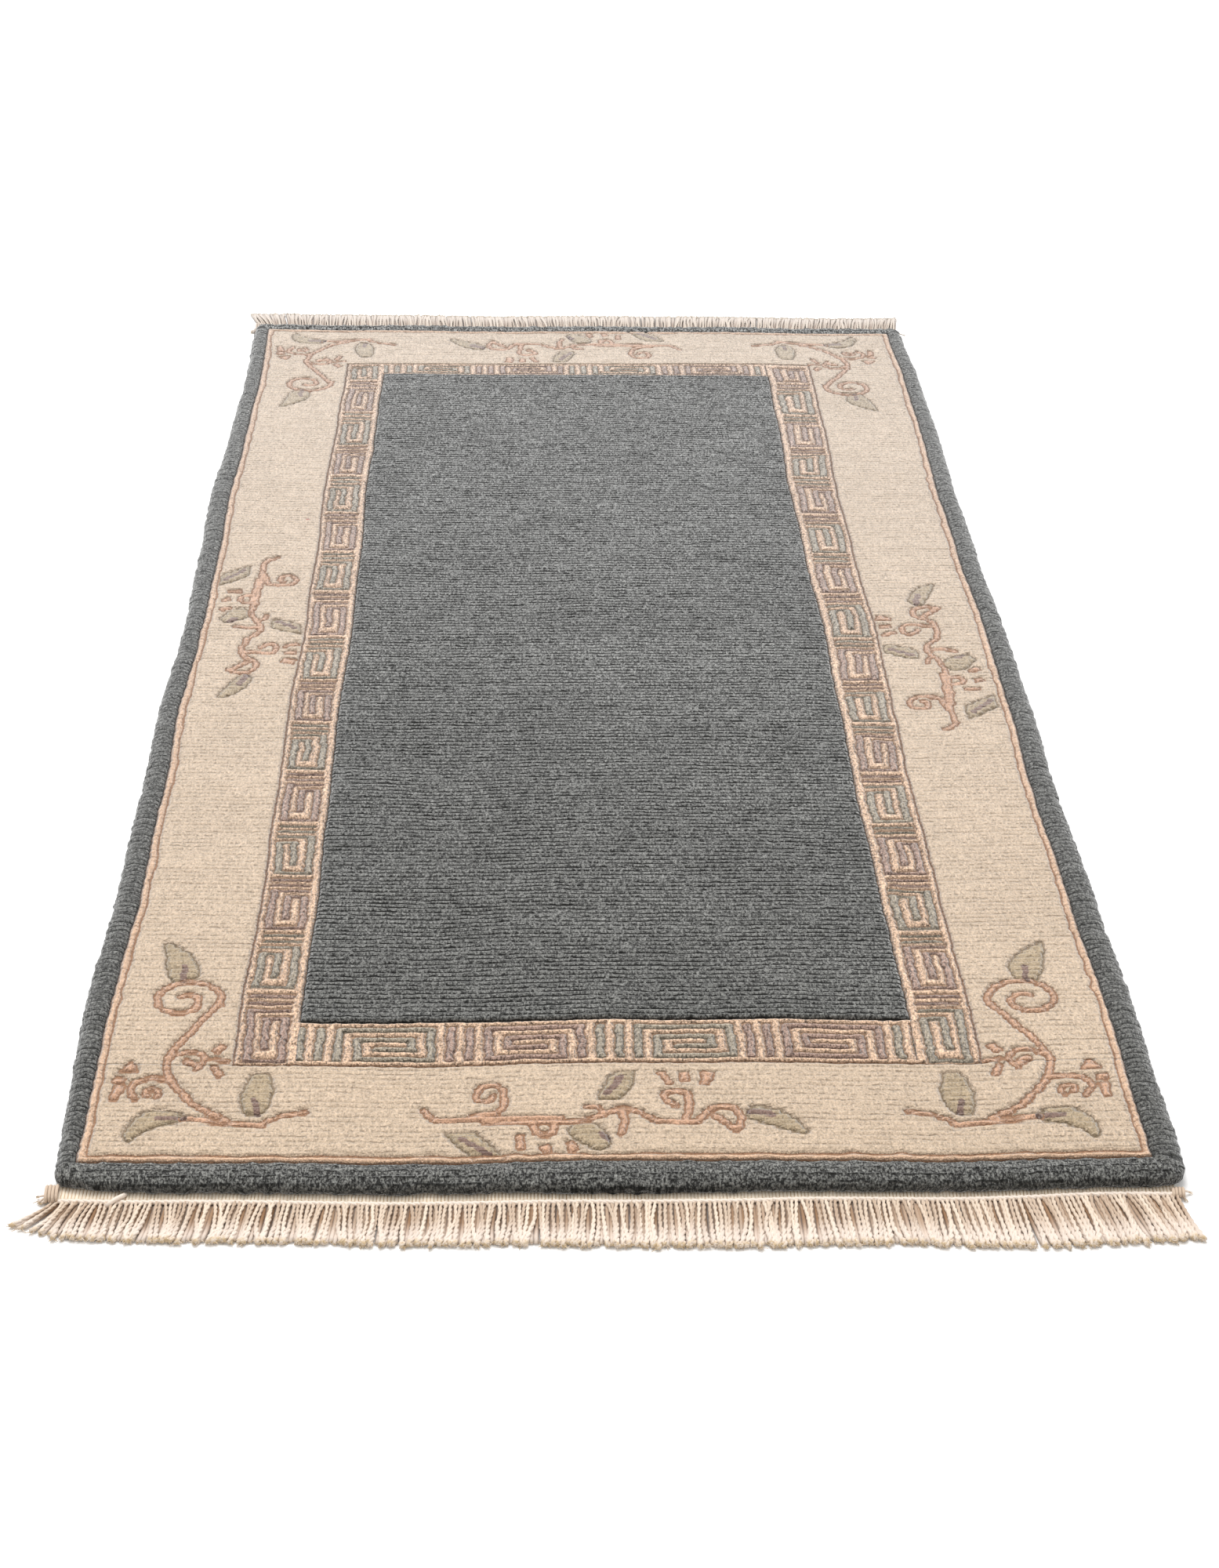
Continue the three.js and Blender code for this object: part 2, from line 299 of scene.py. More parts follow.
# Each vine is drawn by its run along the border and its way inward, both in millimetres.
CORNER_VINE = {
    "stems": [
        (CURL, [(138, 47), (122, 43), (109, 35)]),
        (STEM, [(111, 34), (86, 37), (60, 40)]),
        (STEM, [(88, 40), (68, 52), (50, 77), (45, 101), (58, 130), (72, 156)]),
        (STEM, curl((49, 161), 24, 1.06, -10, 1.35)),
        (4.0, [(47, 102), (60, 108), (70, 100), (65, 89)]),
        (6.0, [(58, 98), (64, 94)]),
        (4.4, [(49, 78), (36, 80), (26, 75), (24.5, 68), (29, 60)]),
        (3.8, curl((38, 65.5), 6, 1.0, -50, 0.8, 0.45)),
    ],
    "petals": [
        ((21, 86), (22, 96), 14, 2),
        ((16, 75), (17, 81), 8, 8),
        ((15, 58), (17, 73), 5, 7),
        ((75, 106), (80, 114), 6, 6),
        ((74, 99.5), (86, 97), 4, 4),
        ((75, 93), (81, 82), 4, 5),
    ],
    "leaves": [
        dict(base=(48, 181), tip=(27, 226), width=20, bend=3, widest=0.36, base_width=8),
        dict(base=(61, 41), tip=(28, 20), width=17, bend=9, widest=0.4, base_width=7, tip_width=7),
        dict(base=(104, 44), tip=(107, 85), width=20, widest=0.4, base_width=7, tip_width=10),
    ],
    "veins": [
        (4.4, [(46, 182), (45.5, 197)]),
        (4.2, [(61, 40), (45, 40)]),
        (4.2, [(107, 45), (104, 57)]),
    ],
}

MIDDLE_VINE = {
    "stems": [
        (4.6, [(-122, 50), (-118, 43), (-111, 39)]),
        (STEM, [(-112, 39), (-80, 40), (-35, 39)]),
        (STEM, [(-82, 37), (-40, 36), (-15, 38), (2, 47), (14, 45), (27, 36), (51, 35.5), (63, 49),
                (76, 49), (81, 38), (78, 29)]),
        (4.0, [(-17, 50), (-10, 48), (-7, 42)]),
        (4.8, [(4, 47), (6, 36), (3, 24)]),
        (5.0, [(-92, 42), (-74, 47), (-70, 58)]),
        (4.4, curl((-81.5, 63), 12, 0.95, -12, 1.0, 0.35)),
        (4.8, [(-52, 36), (-50, 25), (-41, 25), (-39, 35)]),
        (4.8, [(46, 37), (49, 60), (41, 65), (33, 61), (35, 54), (40, 51)]),
        (5.2, [(64, 42), (77, 28)]),
    ],
    "petals": [
        ((-60, 24), (-59, 10), 5, 5),
        ((-46, 14), (-43, 6), 7, 5),
        ((-30, 17), (-26, 7), 5, 7),
        ((31, 84), (37, 71), 5, 5),
        ((46, 84), (47, 74), 6, 6),
        ((59, 72), (62, 85), 6, 9),
    ],
    "leaves": [
        dict(base=(-98, 27), tip=(-79, 1), width=21, base_width=19, tip_width=19, level=True),
        dict(base=(-25, 33), tip=(-6, 11), width=19, base_width=13, tip_width=9),
        dict(base=(-3, 56), tip=(8, 84), width=18, base_width=13, tip_width=13, level=True),
        dict(base=(85, 46), tip=(121, 25), width=15, bend=-3, base_width=9, tip_width=4),
    ],
    "veins": [
        (4.6, [(-98, 22), (-79, 5)]),
        (5.0, [(-9, 23), (-5, 18)]),
        (4.6, [(-5, 61), (6, 79)]),
        (5.8, [(87, 45), (100, 42)]),
    ],
}


def turned(points, origin, run, inward):
    """Places of a vine in u and v, from its own run along the border and its way inward."""
    p = np.array(points, float)
    return np.array(origin) + p[:, :1] * np.array(run) + p[:, 1:] * np.array(inward)


# Origin, direction of the run and direction inward of each vine.
CORNERS = (
    ((0, 0), (1, 0), (0, 1)),
    ((LINE_WIDTH, 0), (-1.08, 0), (0, 1)),
    ((0, LINE_LENGTH + 5), (1, 0), (0, -0.92)),
    ((LINE_WIDTH - 10, LINE_LENGTH + 6), (-1.02, 0), (0, -0.93)),
)
MIDDLES = (
    ((335, 0), (1, 0), (0, 1)),
    ((6, 679), (0, -1), (0.93, 0)),
    ((LINE_WIDTH - 8, 634), (0, 1), (-1, 0)),
    ((319, LINE_LENGTH), (-1, 0), (0, -1)),
)


def draw_vines(u, v):
    """Depths inside the stems and petals, the leaves and the leaf veins of all eight vines."""
    fields = {kind: np.full(u.shape, OUTSIDE) for kind in ("stem", "leaf", "vein")}
    for vine, places in ((CORNER_VINE, CORNERS), (MIDDLE_VINE, MIDDLES)):
        for place in places:
            for width, points in vine["stems"]:
                drawn(fields["stem"], u, v, rounded_path(turned(points, *place), 4), width / 2)
            for petal in vine["petals"]:
                drawn(fields["stem"], u, v, turned(dab(*petal), *place))
            for shape in vine["leaves"]:
                drawn(fields["leaf"], u, v, turned(leaf(**shape), *place))
            for width, points in vine["veins"]:
                drawn(fields["vein"], u, v, turned(points, *place), width / 2)
    return fields


# Key border

# Bars of a side unit across the band, as shares of its width from the pale side.
SIDE_OUTER = (0.12, 0.27)
SIDE_CENTRE = (0.39, 0.53)
SIDE_INNER = (0.69, 0.84)
# Along the rug, from the unit's near end.
NEAR_BAR = (0, 3.8)
CENTRE_START = 12
INNER_FAR_BAR = (41.5, 45.2)
OUTER_FAR_BAR = (49.5, 53)
THIN_BARS = ((57, 60.4), (64.2, 67.8))
UNIT_PITCH = 73.6
# Near ends of the side units: the weaver's own uneven count of rows.
UNIT_STARTS = (97, 174, 243, 310, 379, 451, 524, 590, 663, 742, 818, 897, 976, 1042, 1120, 1200)
LAST_UNIT_PITCH = 48.5

# End bands: upright bars in pairs, then a long spiral, by turns.
END_BARS_FROM = 126.5
END_BAR = 6
END_GAP = 6.4
SPIRAL = 67
SPIRALS = 4
# Bars of a spiral from the field's side, as shares of the band's depth: every other one of nine rows.
SPIRAL_TOP = (1 / 9, 2 / 9)
SPIRAL_INNER_TOP = (3 / 9, 4 / 9)
SPIRAL_INNER_BOTTOM = (5 / 9, 6 / 9)
SPIRAL_BOTTOM = (7 / 9, 8 / 9)


def side_unit(start, scale, swapped):
    """Bars of one side unit: (across shares, places along the rug)."""
    long_side, short_side = (SIDE_INNER, SIDE_OUTER) if swapped else (SIDE_OUTER, SIDE_INNER)
    whole = (SIDE_OUTER[0], SIDE_INNER[1])
    hook = (min(short_side[0], SIDE_CENTRE[0]), max(short_side[1], SIDE_CENTRE[1]))
    bars = [
        (whole, OUTER_FAR_BAR),
        (long_side, (NEAR_BAR[0], OUTER_FAR_BAR[1])),
        (whole, NEAR_BAR),
        (short_side, (NEAR_BAR[0], INNER_FAR_BAR[1])),
        (hook, INNER_FAR_BAR),
        (SIDE_CENTRE, (CENTRE_START, INNER_FAR_BAR[1])),
    ]
    return [(across, (start + scale * a, start + scale * b)) for across, (a, b) in bars]


def side_boxes():
    """All bars of both side bands as (box, is mauve)."""
    found = []
    whole = (SIDE_OUTER[0], SIDE_INNER[1])
    sides = ((KEY_LEFT, FIELD_LEFT, 0), (KEY_RIGHT, FIELD_RIGHT, 1))
    for pale, field, other in sides:
        for n, start in enumerate(UNIT_STARTS):
            last = n == len(UNIT_STARTS) - 1
            pitch = LAST_UNIT_PITCH if last else UNIT_STARTS[n + 1] - start
            scale = pitch / UNIT_PITCH
            bars = [(bar, (n + other) % 2 == 0) for bar in side_unit(start, scale, n % 2 == 1)]
            if not last:
                for a, b in THIN_BARS:
                    bars.append(((whole, (start + scale * a, start + scale * b)), n % 2 == 0))
            for (across, (low, high)), mauve in bars:
                edges = sorted(pale + (field - pale) * share for share in across)
                found.append(((edges[0], edges[1], low, high), mauve))
    return found


def end_boxes(pale, field):
    """All bars of one end band, whose pale and field sides lie at these v, as (box, is mauve)."""
    found = []

    def add(low, high, shares, mauve):
        edges = sorted(field + (pale - field) * share for share in shares)
        found.append(((low, high, edges[0], edges[1]), mauve))

    whole = (SPIRAL_TOP[0], SPIRAL_BOTTOM[1])
    at = END_BARS_FROM
    for n in range(SPIRALS + 1):
        mauve = n % 2 == 1
        for _ in range(2):
            add(at, at + END_BAR, whole, mauve)
            at += END_BAR + END_GAP
        if n == SPIRALS:
            break
        low, high = at, at + SPIRAL

        def mirrored(a, b):
            return (low + a, low + b) if mauve else (high - b, high - a)

        bar, gap = END_BAR, END_GAP
        inner_low, inner_high = bar + gap, SPIRAL - bar - gap
        add(*mirrored(SPIRAL - bar, SPIRAL), whole, mauve)
        add(*mirrored(0, SPIRAL), SPIRAL_TOP, mauve)
        add(*mirrored(0, bar), whole, mauve)
        add(*mirrored(0, inner_high), SPIRAL_BOTTOM, mauve)
        add(*mirrored(inner_high - bar, inner_high), (SPIRAL_INNER_TOP[0], SPIRAL_BOTTOM[1]), mauve)
        add(*mirrored(inner_low, inner_high), SPIRAL_INNER_TOP, mauve)
        add(*mirrored(inner_low, inner_low + bar), (SPIRAL_INNER_TOP[0], SPIRAL_INNER_BOTTOM[1]), mauve)
        add(*mirrored(inner_low, inner_high - bar - gap), SPIRAL_INNER_BOTTOM, mauve)
        at = high + END_GAP
    return found


def drawn_bars(bars, u, v):
    """Depths inside the bars, and which colour the nearest bar has: 1 is mauve, 0 grey."""
    depth = np.full(u.shape, OUTSIDE)
    mauve = np.zeros(u.shape)
    for box, is_mauve in bars:
        near = box_depth(u, v, box) > -BAR_REACH
        inside = box_depth(u[near], v[near], box)
        closer = inside > depth[near]
        depth[near] = np.where(closer, inside, depth[near])
        mauve[near] = np.where(closer, float(is_mauve), mauve[near])
    return depth, mauve


# Mesh building

def unit(vectors):
    """Vectors made one long."""
    return vectors / np.linalg.norm(vectors, axis=-1, keepdims=True)


def new_piece(name, points, faces, material, smooth=True, flat_from=None, values=None):
    """A mesh object from numpy points and faces, riding on the rug, with its float attributes."""
    mesh = bpy.data.meshes.new(name)
    sizes = np.array([len(face) for face in faces], np.int32)
    corners = np.fromiter((i for face in faces for i in face), np.int32, sizes.sum())
    mesh.vertices.add(len(points))
    mesh.vertices.foreach_set("co", np.asarray(points, np.float32).ravel())
    mesh.loops.add(len(corners))
    mesh.loops.foreach_set("vertex_index", corners)
    mesh.polygons.add(len(sizes))
    starts = np.concatenate([[0], np.cumsum(sizes)[:-1]]).astype(np.int32)
    mesh.polygons.foreach_set("loop_start", starts)
    shading = np.full(len(sizes), smooth)
    if flat_from is not None:
        shading[flat_from:] = False
    mesh.polygons.foreach_set("use_smooth", shading)
    for key, numbers in (values or {}).items():
        attribute = mesh.attributes.new(key, "FLOAT", "POINT")
        attribute.data.foreach_set("value", np.asarray(numbers, np.float32).ravel())
    mesh.update(calc_edges=True)
    mesh.validate()
    mesh.materials.append(material)
    piece = bpy.data.objects.new(name, mesh)
    bpy.context.scene.collection.objects.link(piece)
    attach(piece, BODY)
    return piece


def closed_patch(top, bottom_height):
    """Points and faces of a slab with a grid (rows, columns, 3) on top, whose faces come first."""
    rows, columns = top.shape[:2]
    points = [top.reshape(-1, 3)]
    number = np.arange(rows * columns).reshape(rows, columns)
    quads = np.stack([number[:-1, :-1], number[:-1, 1:], number[1:, 1:], number[1:, :-1]], -1).reshape(-1, 4)
    rim = np.concatenate([number[0, :-1], number[:-1, -1], number[-1, :0:-1], number[:0:-1, 0]])
    low = top.reshape(-1, 3)[rim].copy()
    low[:, 2] = bottom_height * MM
    first = rows * columns
    below = dict(zip(rim.tolist(), range(first, first + len(rim))))
    points.append(low)
    faces = quads.tolist()
    after = np.roll(rim, -1)
    for a, b in zip(rim.tolist(), after.tolist()):
        faces.append([b, a, below[a], below[b]])
    left = [below[i] for i in number[:, 0].tolist()]
    right = [below[i] for i in number[:, -1].tolist()]
    front = [below[i] for i in number[0].tolist()]
    back = [below[i] for i in number[-1].tolist()]
    faces.append([left[1]] + [right[1]] + front[::-1])
    for k in range(1, rows - 2):
        faces.append([left[k + 1], right[k + 1], right[k], left[k]])
    faces.append(back + [right[-2], left[-2]])
    return np.vstack(points), faces


def joined(parts):
    """Several (points, faces, values) as one, with the faces' numbers moved along."""
    points, faces, values, base = [], [], {}, 0
    for part_points, part_faces, part_values in parts:
        points.append(part_points)
        faces.extend([[i + base for i in face] for face in part_faces])
        for key, numbers in part_values.items():
            values.setdefault(key, []).append(numbers)
        base += len(part_points)
    return np.vstack(points), faces, {key: np.concatenate(v) for key, v in values.items()}


# Relief of the pile

GROOVE_DEPTH = 2.0
GROOVE_HALF_WIDTH = 1.2
ROW_DIP = 0.22

# Soft noises: how far hand-tied knots lie from their places, how the parted rows are broken up,
# how uneven the tufts are, and how far the key bars and the thin line's inner edge stray.
KNOT_WOBBLE_U = ((0.5, 9, 4.4, 21), (0.6, 34, 30, 22))
KNOT_WOBBLE_V = ((0.45, 8, 9, 23), (0.7, 30, 34, 24))
DASHES = ((0.5, 15, 1, 5), (0.6, 52, 1, 9))
DASH_SPAN = (-0.45, 0.65)
KNOT_SLIP = ((1, 21, 1, 71),)
TUFTS = ((1, 3.1, 2.6, 31), (0.6, 1.7, 1.5, 32))
BAR_STRAY_U = ((0.9, 18, 3.6, 72), (0.5, 30, 17, 74))
BAR_STRAY_V = ((0.8, 12, 26, 73),)
THIN_LINE_STRAY = ((1.3, 10, 10, 75), (0.7, 27, 27, 76))

# The weaver's borders run a little askew: how far each colour change lies from its straight place.
ASKEW_U = (0, KEY_LEFT, FIELD_LEFT, FIELD_RIGHT, KEY_RIGHT, LINE_WIDTH)
ASKEW_FRONT = (0, 0, 0.2, 4.5, 2, 0)
ASKEW_BACK = (0, 0.3, -0.9, -4, -2, 0)
ASKEW_ROWS = (0, KEY_FRONT_ROW, FIELD_FRONT_ROW, FIELD_BACK_ROW, KEY_BACK_ROW, ROW_COUNT)
ASKEW_V = tuple(row * ROW for row in ASKEW_ROWS)
ASKEW_LEFT = (0, -2.1, 0.6, 2.3, -1.4, 0)
ASKEW_RIGHT = (0, 0.1, 3.0, -0.7, 3.7, 0)


def askew(u, v):
    """Where a place of the straight layout really lies."""
    along = np.clip(v / LINE_LENGTH, 0, 1)
    across = np.clip(u / LINE_WIDTH, 0, 1)
    du = np.interp(u, ASKEW_U, ASKEW_FRONT) * (1 - along) + np.interp(u, ASKEW_U, ASKEW_BACK) * along
    dv = np.interp(v, ASKEW_V, ASKEW_LEFT) * (1 - across) + np.interp(v, ASKEW_V, ASKEW_RIGHT) * across
    return u + du, v + dv


def wobbled(x, y, z):
    """Places in the rug, askew and moved by the small unevenness of hand-tied knots."""
    u = x + LINE_WIDTH / 2
    v = y + LINE_LENGTH / 2
    du = bumps(u, v, KNOT_WOBBLE_U)
    dv = bumps(u, v, KNOT_WOBBLE_V)
    u, v = askew(u, v)
    return placed(u + du - LINE_WIDTH / 2, v + dv - LINE_LENGTH / 2, z)


def between_rows(line):
    """Whether a mesh line lies between two knot rows."""
    return line % LINES_PER_ROW == 0


def row_gaps(u, line):
    """How wide the pile parts at each mesh line: only the lines between two knot rows part."""
    row = line // LINES_PER_ROW
    return np.where(between_rows(line), ramp(bumps(u, row, DASHES), *DASH_SPAN), 0)


def knot_places(u, v, line):
    """Where the pattern is looked up: a knot shows what lies at its row's middle, slipped a little."""
    row = line // LINES_PER_ROW
    here = bumps(u, row, KNOT_SLIP)
    before = bumps(u, row - 1, KNOT_SLIP)
    between = between_rows(line)
    slip = np.where(between, (here + before) / 2, here)
    middle = v + (row * LINES_PER_ROW + LINES_PER_ROW / 2 - line) * STEP
    return u + slip, np.where(between, v, middle)


def columns(stops, step):
    """Even columns between stops that several patches share, so that no seam opens between them."""
    parts = [np.linspace(a, b, max(2, round((b - a) / step)) + 1)[:-1] for a, b in zip(stops[:-1], stops[1:])]
    return np.concatenate(parts + [stops[-1:]])


def pile_grid(u_stops, line_low, line_high, u_step):
    """u, v and mesh line number of a patch's grid."""
    u, number = np.meshgrid(columns(u_stops, u_step), np.arange(line_low, line_high + 1))
    return u, number * STEP, number


def patch_part(u, v, line, pile, boundary, values, raised=0):
    """Points, faces and shader values of one patch of cut pile."""
    height, tuft, gap_depth = pile
    x = u - LINE_WIDTH / 2
    y = v - LINE_LENGTH / 2
    gaps = row_gaps(u, line)
    z = height + top_unevenness(x, y) + raised
    z = z + tuft * bumps(u, v, TUFTS)
    z = z - np.where(np.isin(line, (KEY_FRONT, KEY_BACK)), 0, gap_depth * gaps + ROW_DIP * between_rows(line))
    z = z - GROOVE_DEPTH * np.exp(-((boundary / GROOVE_HALF_WIDTH) ** 2))
    points, faces = closed_patch(wobbled(x, y, z), GROUND_HEIGHT)
    extra = len(points) - u.size
    fields = {"gap": gaps, "row": v / ROW, "boundary": band_distance(u, v), **values}
    padded = {key: np.concatenate([np.ravel(f), np.zeros(extra)]) for key, f in fields.items()}
    return points, faces, padded


def quad_count(u):
    """Number of faces of a patch's grid."""
    return (u.shape[0] - 1) * (u.shape[1] - 1)


def thin_depth(u, v):
    """Depth inside the thin line, whose inner edge strays from knot to knot."""
    return THIN_LINE + bumps(u, v, THIN_LINE_STRAY) - box_depth(u, v, (0, LINE_WIDTH, 0, LINE_LENGTH))


BAND_BOXES = (
    (0, LINE_WIDTH, 0, LINE_LENGTH),
    (KEY_LEFT, KEY_RIGHT, KEY_FRONT_ROW * ROW, KEY_BACK_ROW * ROW),
    (FIELD_LEFT, FIELD_RIGHT, FIELD_FRONT_ROW * ROW, FIELD_BACK_ROW * ROW),
)


def band_distance(u, v):
    """Distance to the nearest line clipped between two colour bands."""
    depths = [box_depth(u, v, box) for box in BAND_BOXES]
    return np.min(np.abs([thin_depth(u, v), *depths]), axis=0)


KEY_FRONT = KEY_FRONT_ROW * LINES_PER_ROW
FIELD_FRONT = FIELD_FRONT_ROW * LINES_PER_ROW
FIELD_BACK = FIELD_BACK_ROW * LINES_PER_ROW
KEY_BACK = KEY_BACK_ROW * LINES_PER_ROW
LAST_LINE = ROW_COUNT * LINES_PER_ROW

# Height of each pile, how uneven its tufts are, and how deep its rows part.
FIELD_PILE = (13.3, 0.3, 0.8)
KEY_PILE = (12.5, 0.34, 0.15)
PALE_PILE = (12.6, 0.28, 0.3)
# Mesh columns: their pitch in each pile, and the width of the field's rim.
FIELD_STEP = 4.0
FIELD_RIM = 2.6
KEY_STEP = 1.45
PALE_STEP = 1.8
# The rows of the drawn shapes rise, the lines between them dip, and the shapes' rims are this wide.
MOTIF_RISE = 0.25
MOTIF_DIP = 0.5
MOTIF_RIM = 1.6


def build_field(material):
    stops = (FIELD_LEFT, FIELD_LEFT + FIELD_RIM, FIELD_RIGHT - FIELD_RIM, FIELD_RIGHT)
    u, v, line = pile_grid(stops, FIELD_FRONT, FIELD_BACK, FIELD_STEP)
    points, faces, values = patch_part(u, v, line, FIELD_PILE, band_distance(u, v), {})
    return new_piece("field", points, faces, material, flat_from=quad_count(u), values=values)


def build_key_border(material):
    def side_bars(u, v, line):
        real_v = askew(u, v)[1] + bumps(u, v, BAR_STRAY_V)
        return drawn_bars(side_boxes(), u + bumps(u, v, BAR_STRAY_U), real_v)

    def front_bars(u, v, line):
        row_u, row_v = knot_places(u, v, line)
        return drawn_bars(end_boxes(KEY_FRONT_ROW * ROW, FIELD_FRONT_ROW * ROW), row_u, row_v)

    def back_bars(u, v, line):
        return drawn_bars(end_boxes(KEY_BACK_ROW * ROW, FIELD_BACK_ROW * ROW), u, v)

    bands = (
        ((KEY_LEFT, FIELD_LEFT), KEY_FRONT, KEY_BACK, side_bars),
        ((FIELD_RIGHT, KEY_RIGHT), KEY_FRONT, KEY_BACK, side_bars),
        ((FIELD_LEFT, FIELD_RIGHT), KEY_FRONT, FIELD_FRONT, front_bars),
        ((FIELD_LEFT, FIELD_RIGHT), FIELD_BACK, KEY_BACK, back_bars),
    )
    parts, smooth = [], []
    for stops, low, high, bars in bands:
        u, v, line = pile_grid(stops, low, high, KEY_STEP)
        bar, mauve = bars(u, v, line)
        boundary = np.minimum(band_distance(u, v), np.abs(bar))
        part = patch_part(u, v, line, KEY_PILE, boundary, {"bar": bar, "mauve": mauve})
        parts.append(part)
        smooth.append(np.arange(len(part[1])) < quad_count(u))
    points, faces, values = joined(parts)
    return new_piece("key_border", points, faces, material, smooth=np.concatenate(smooth), values=values)


def build_pale_border(material):
    """Four patches that meet at a line between two knot rows, where no seam shows."""
    pieces = []
    whole_width = (0, KEY_LEFT, KEY_RIGHT, LINE_WIDTH)
    bands = {
        "left": (whole_width[:2], KEY_FRONT, KEY_BACK),
        "right": (whole_width[2:], KEY_FRONT, KEY_BACK),
        "front": (whole_width, 0, KEY_FRONT),
        "back": (whole_width, KEY_BACK, LAST_LINE),
    }
    for side, band in bands.items():
        u, v, line = pile_grid(*band, PALE_STEP)
        drawing = draw_vines(*knot_places(*askew(u, v), line))
        stem, leaf, vein = drawing["stem"], drawing["leaf"], drawing["vein"]
        around_leaf = np.maximum(np.abs(leaf), stem)
        boundary = np.minimum.reduce([band_distance(u, v), np.abs(stem), around_leaf])
        values = {"thin": thin_depth(u, v), "stem": stem, "leaf": leaf, "vein": vein}
        motif = ramp(np.maximum(stem, leaf), 0, MOTIF_RIM)
        raised = motif * (MOTIF_RISE - MOTIF_DIP * between_rows(line))
        points, faces, values = patch_part(u, v, line, PALE_PILE, boundary, values, raised)
        pieces.append(new_piece("pale_border_" + side, points, faces, material,
                                flat_from=quad_count(u), values=values))
    return pieces


# Outer edge

# Section of the edge from the thin line outward: step from the foundation's edge, and height.
EDGE_SECTION = (
    (-11.8, 10.2), (-11.0, 11.8), (-9.9, 12.9), (-8.6, 13.5), (-7.2, 13.9), (-5.8, 14.0), (-4.4, 13.9),
    (-3.0, 13.5), (-1.7, 12.8), (-0.4, 11.9), (0.7, 10.8), (1.5, 9.6), (2.1, 8.4), (2.4, 7.1),
    (2.4, 5.8), (2.0, 4.5), (1.3, 3.3), (0.6, 2.2), (0.2, 1.5),
)
EDGE_DEPTH = 11.8
CORNER_CUTS = 7
EDGE_STEP = 1.9
# How deep the rows part at the sides, the least share of it and its unevenness, and how near a mesh
# station has to be to a line between two rows.
NOTCH = 1.3
NOTCH_SHARES = (0.65, 0.35)
NOTCH_HALF_WIDTH = 0.3 * STEP
# How far each row bulges, and the height over which its bulge changes.
BULGE = 0.35
BULGE_HEIGHT = 6
EDGE_TUFTS = ((0.75, 4.6, 4.2, 41), (0.6, 2.3, 2.2, 42))
SIDE_TUFTS = 0.6
# Share of the way back to the edge at which the section's inner end stays, so that no corner collapses.
INNER_SHARE = 0.01
# Heights between which the edge comes loose of its foundation, parts, grows tufts and swells with the top,
# and those between which its wool is darkened downward with painted shade.
LOOSE_HEIGHTS = (1, 4)
NOTCH_HEIGHTS = (2, 6)
TUFT_HEIGHTS = (1.5, 4.5)
SWELL_HEIGHTS = (3, 9)
DEEP_HEIGHTS = (5.5, 12.2)
# The outer face starts this far in from the foundation's edge.
OUTER_FACE = -5
# The trodden edge spreads past its foundation: how far, by place along each side from 0 to 1.
SPREAD = {
    "front": ((0, 0.03, 0.08, 0.36, 0.5, 0.66, 0.9, 1), (0, 5, 6.5, 7, 10.4, 7.8, 6, 6)),
    "right": ((0, 0.02, 0.08, 0.2, 0.5, 0.75, 1), (6, 6.5, 5.2, 6.5, 4, 3.5, 1)),
    "back": ((0, 1), (0.5, 0.5)),
    "left": ((0, 0.15, 0.3, 0.4, 0.5, 0.7, 0.85, 0.92, 0.97, 1), (1, 2, 4.5, 4, 2, 3.5, 4, 2, 0, -1.5)),
}


def edge_outline():
    """Points along the foundation's edge with their outward direction and spread, anticlockwise."""
    straight_y = EDGE_Y - CORNER_RADIUS
    across = np.linspace(-STRAIGHT_X, STRAIGHT_X, round(2 * STRAIGHT_X / EDGE_STEP))
    lines = np.arange(LAST_LINE + 1) * STEP - LINE_LENGTH / 2
    along = np.concatenate([[-straight_y], lines, [straight_y]])
    sides = {
        "front": (across, np.full_like(across, -EDGE_Y), -90),
        "right": (np.full_like(along, EDGE_X), along, 0),
        "back": (-across, np.full_like(across, EDGE_Y), 90),
        "left": (np.full_like(along, -EDGE_X), -along, 180),
    }
    names = list(sides)
    points, outward, spread = [], [], []
    for name, (x, y, degrees) in sides.items():
        angle = math.radians(degrees)
        points.append(np.stack([x, y], -1))
        outward.append(np.tile([math.cos(angle), math.sin(angle)], (len(x), 1)))
        spread.append(np.interp(np.linspace(0, 1, len(x)), *SPREAD[name]))
        middle = np.array([x[-1], y[-1]]) - CORNER_RADIUS * outward[-1][-1]
        turn = angle + np.linspace(0, math.pi / 2, CORNER_CUTS + 1)[1:-1]
        directions = np.stack([np.cos(turn), np.sin(turn)], -1)
        points.append(middle + CORNER_RADIUS * directions)
        outward.append(directions)
        following = SPREAD[names[(names.index(name) + 1) % 4]][1][0]
        spread.append(np.linspace(spread[-1][-1], following, CORNER_CUTS + 1)[1:-1])
    return np.vstack(points), np.vstack(outward), np.concatenate(spread)


def wrapped_quads(stations, sides):
    """Faces round a closed tube, as (stations, sides, 4). The last station leads back to the first."""
    number = np.arange(stations * sides).reshape(stations, sides)
    ahead = np.roll(number, -1, 0)
    return np.stack([number, np.roll(number, -1, 1), np.roll(ahead, -1, 1), ahead], -1)


def edge_tufts(base, section, slope, height, on_side, notch, row):
    """How far the tufts of the edge stand out of its smooth section."""
    ring = np.cumsum(np.linalg.norm(np.diff(base, axis=0, prepend=base[:1]), axis=1))[:, None]
    down = np.cumsum(np.linalg.norm(slope, axis=1))[None, :]
    tufts = bumps(ring, down, EDGE_TUFTS) * np.where(on_side, SIDE_TUFTS, 1.0)
    bulge = on_side * BULGE * drift_noise(height / BULGE_HEIGHT, row, 1, 1, 43)
    step = (tufts + bulge) * ramp(height, *TUFT_HEIGHTS) - NOTCH * notch
    return step * ramp(section[:, 0][None] + EDGE_DEPTH, 0, 1.6)


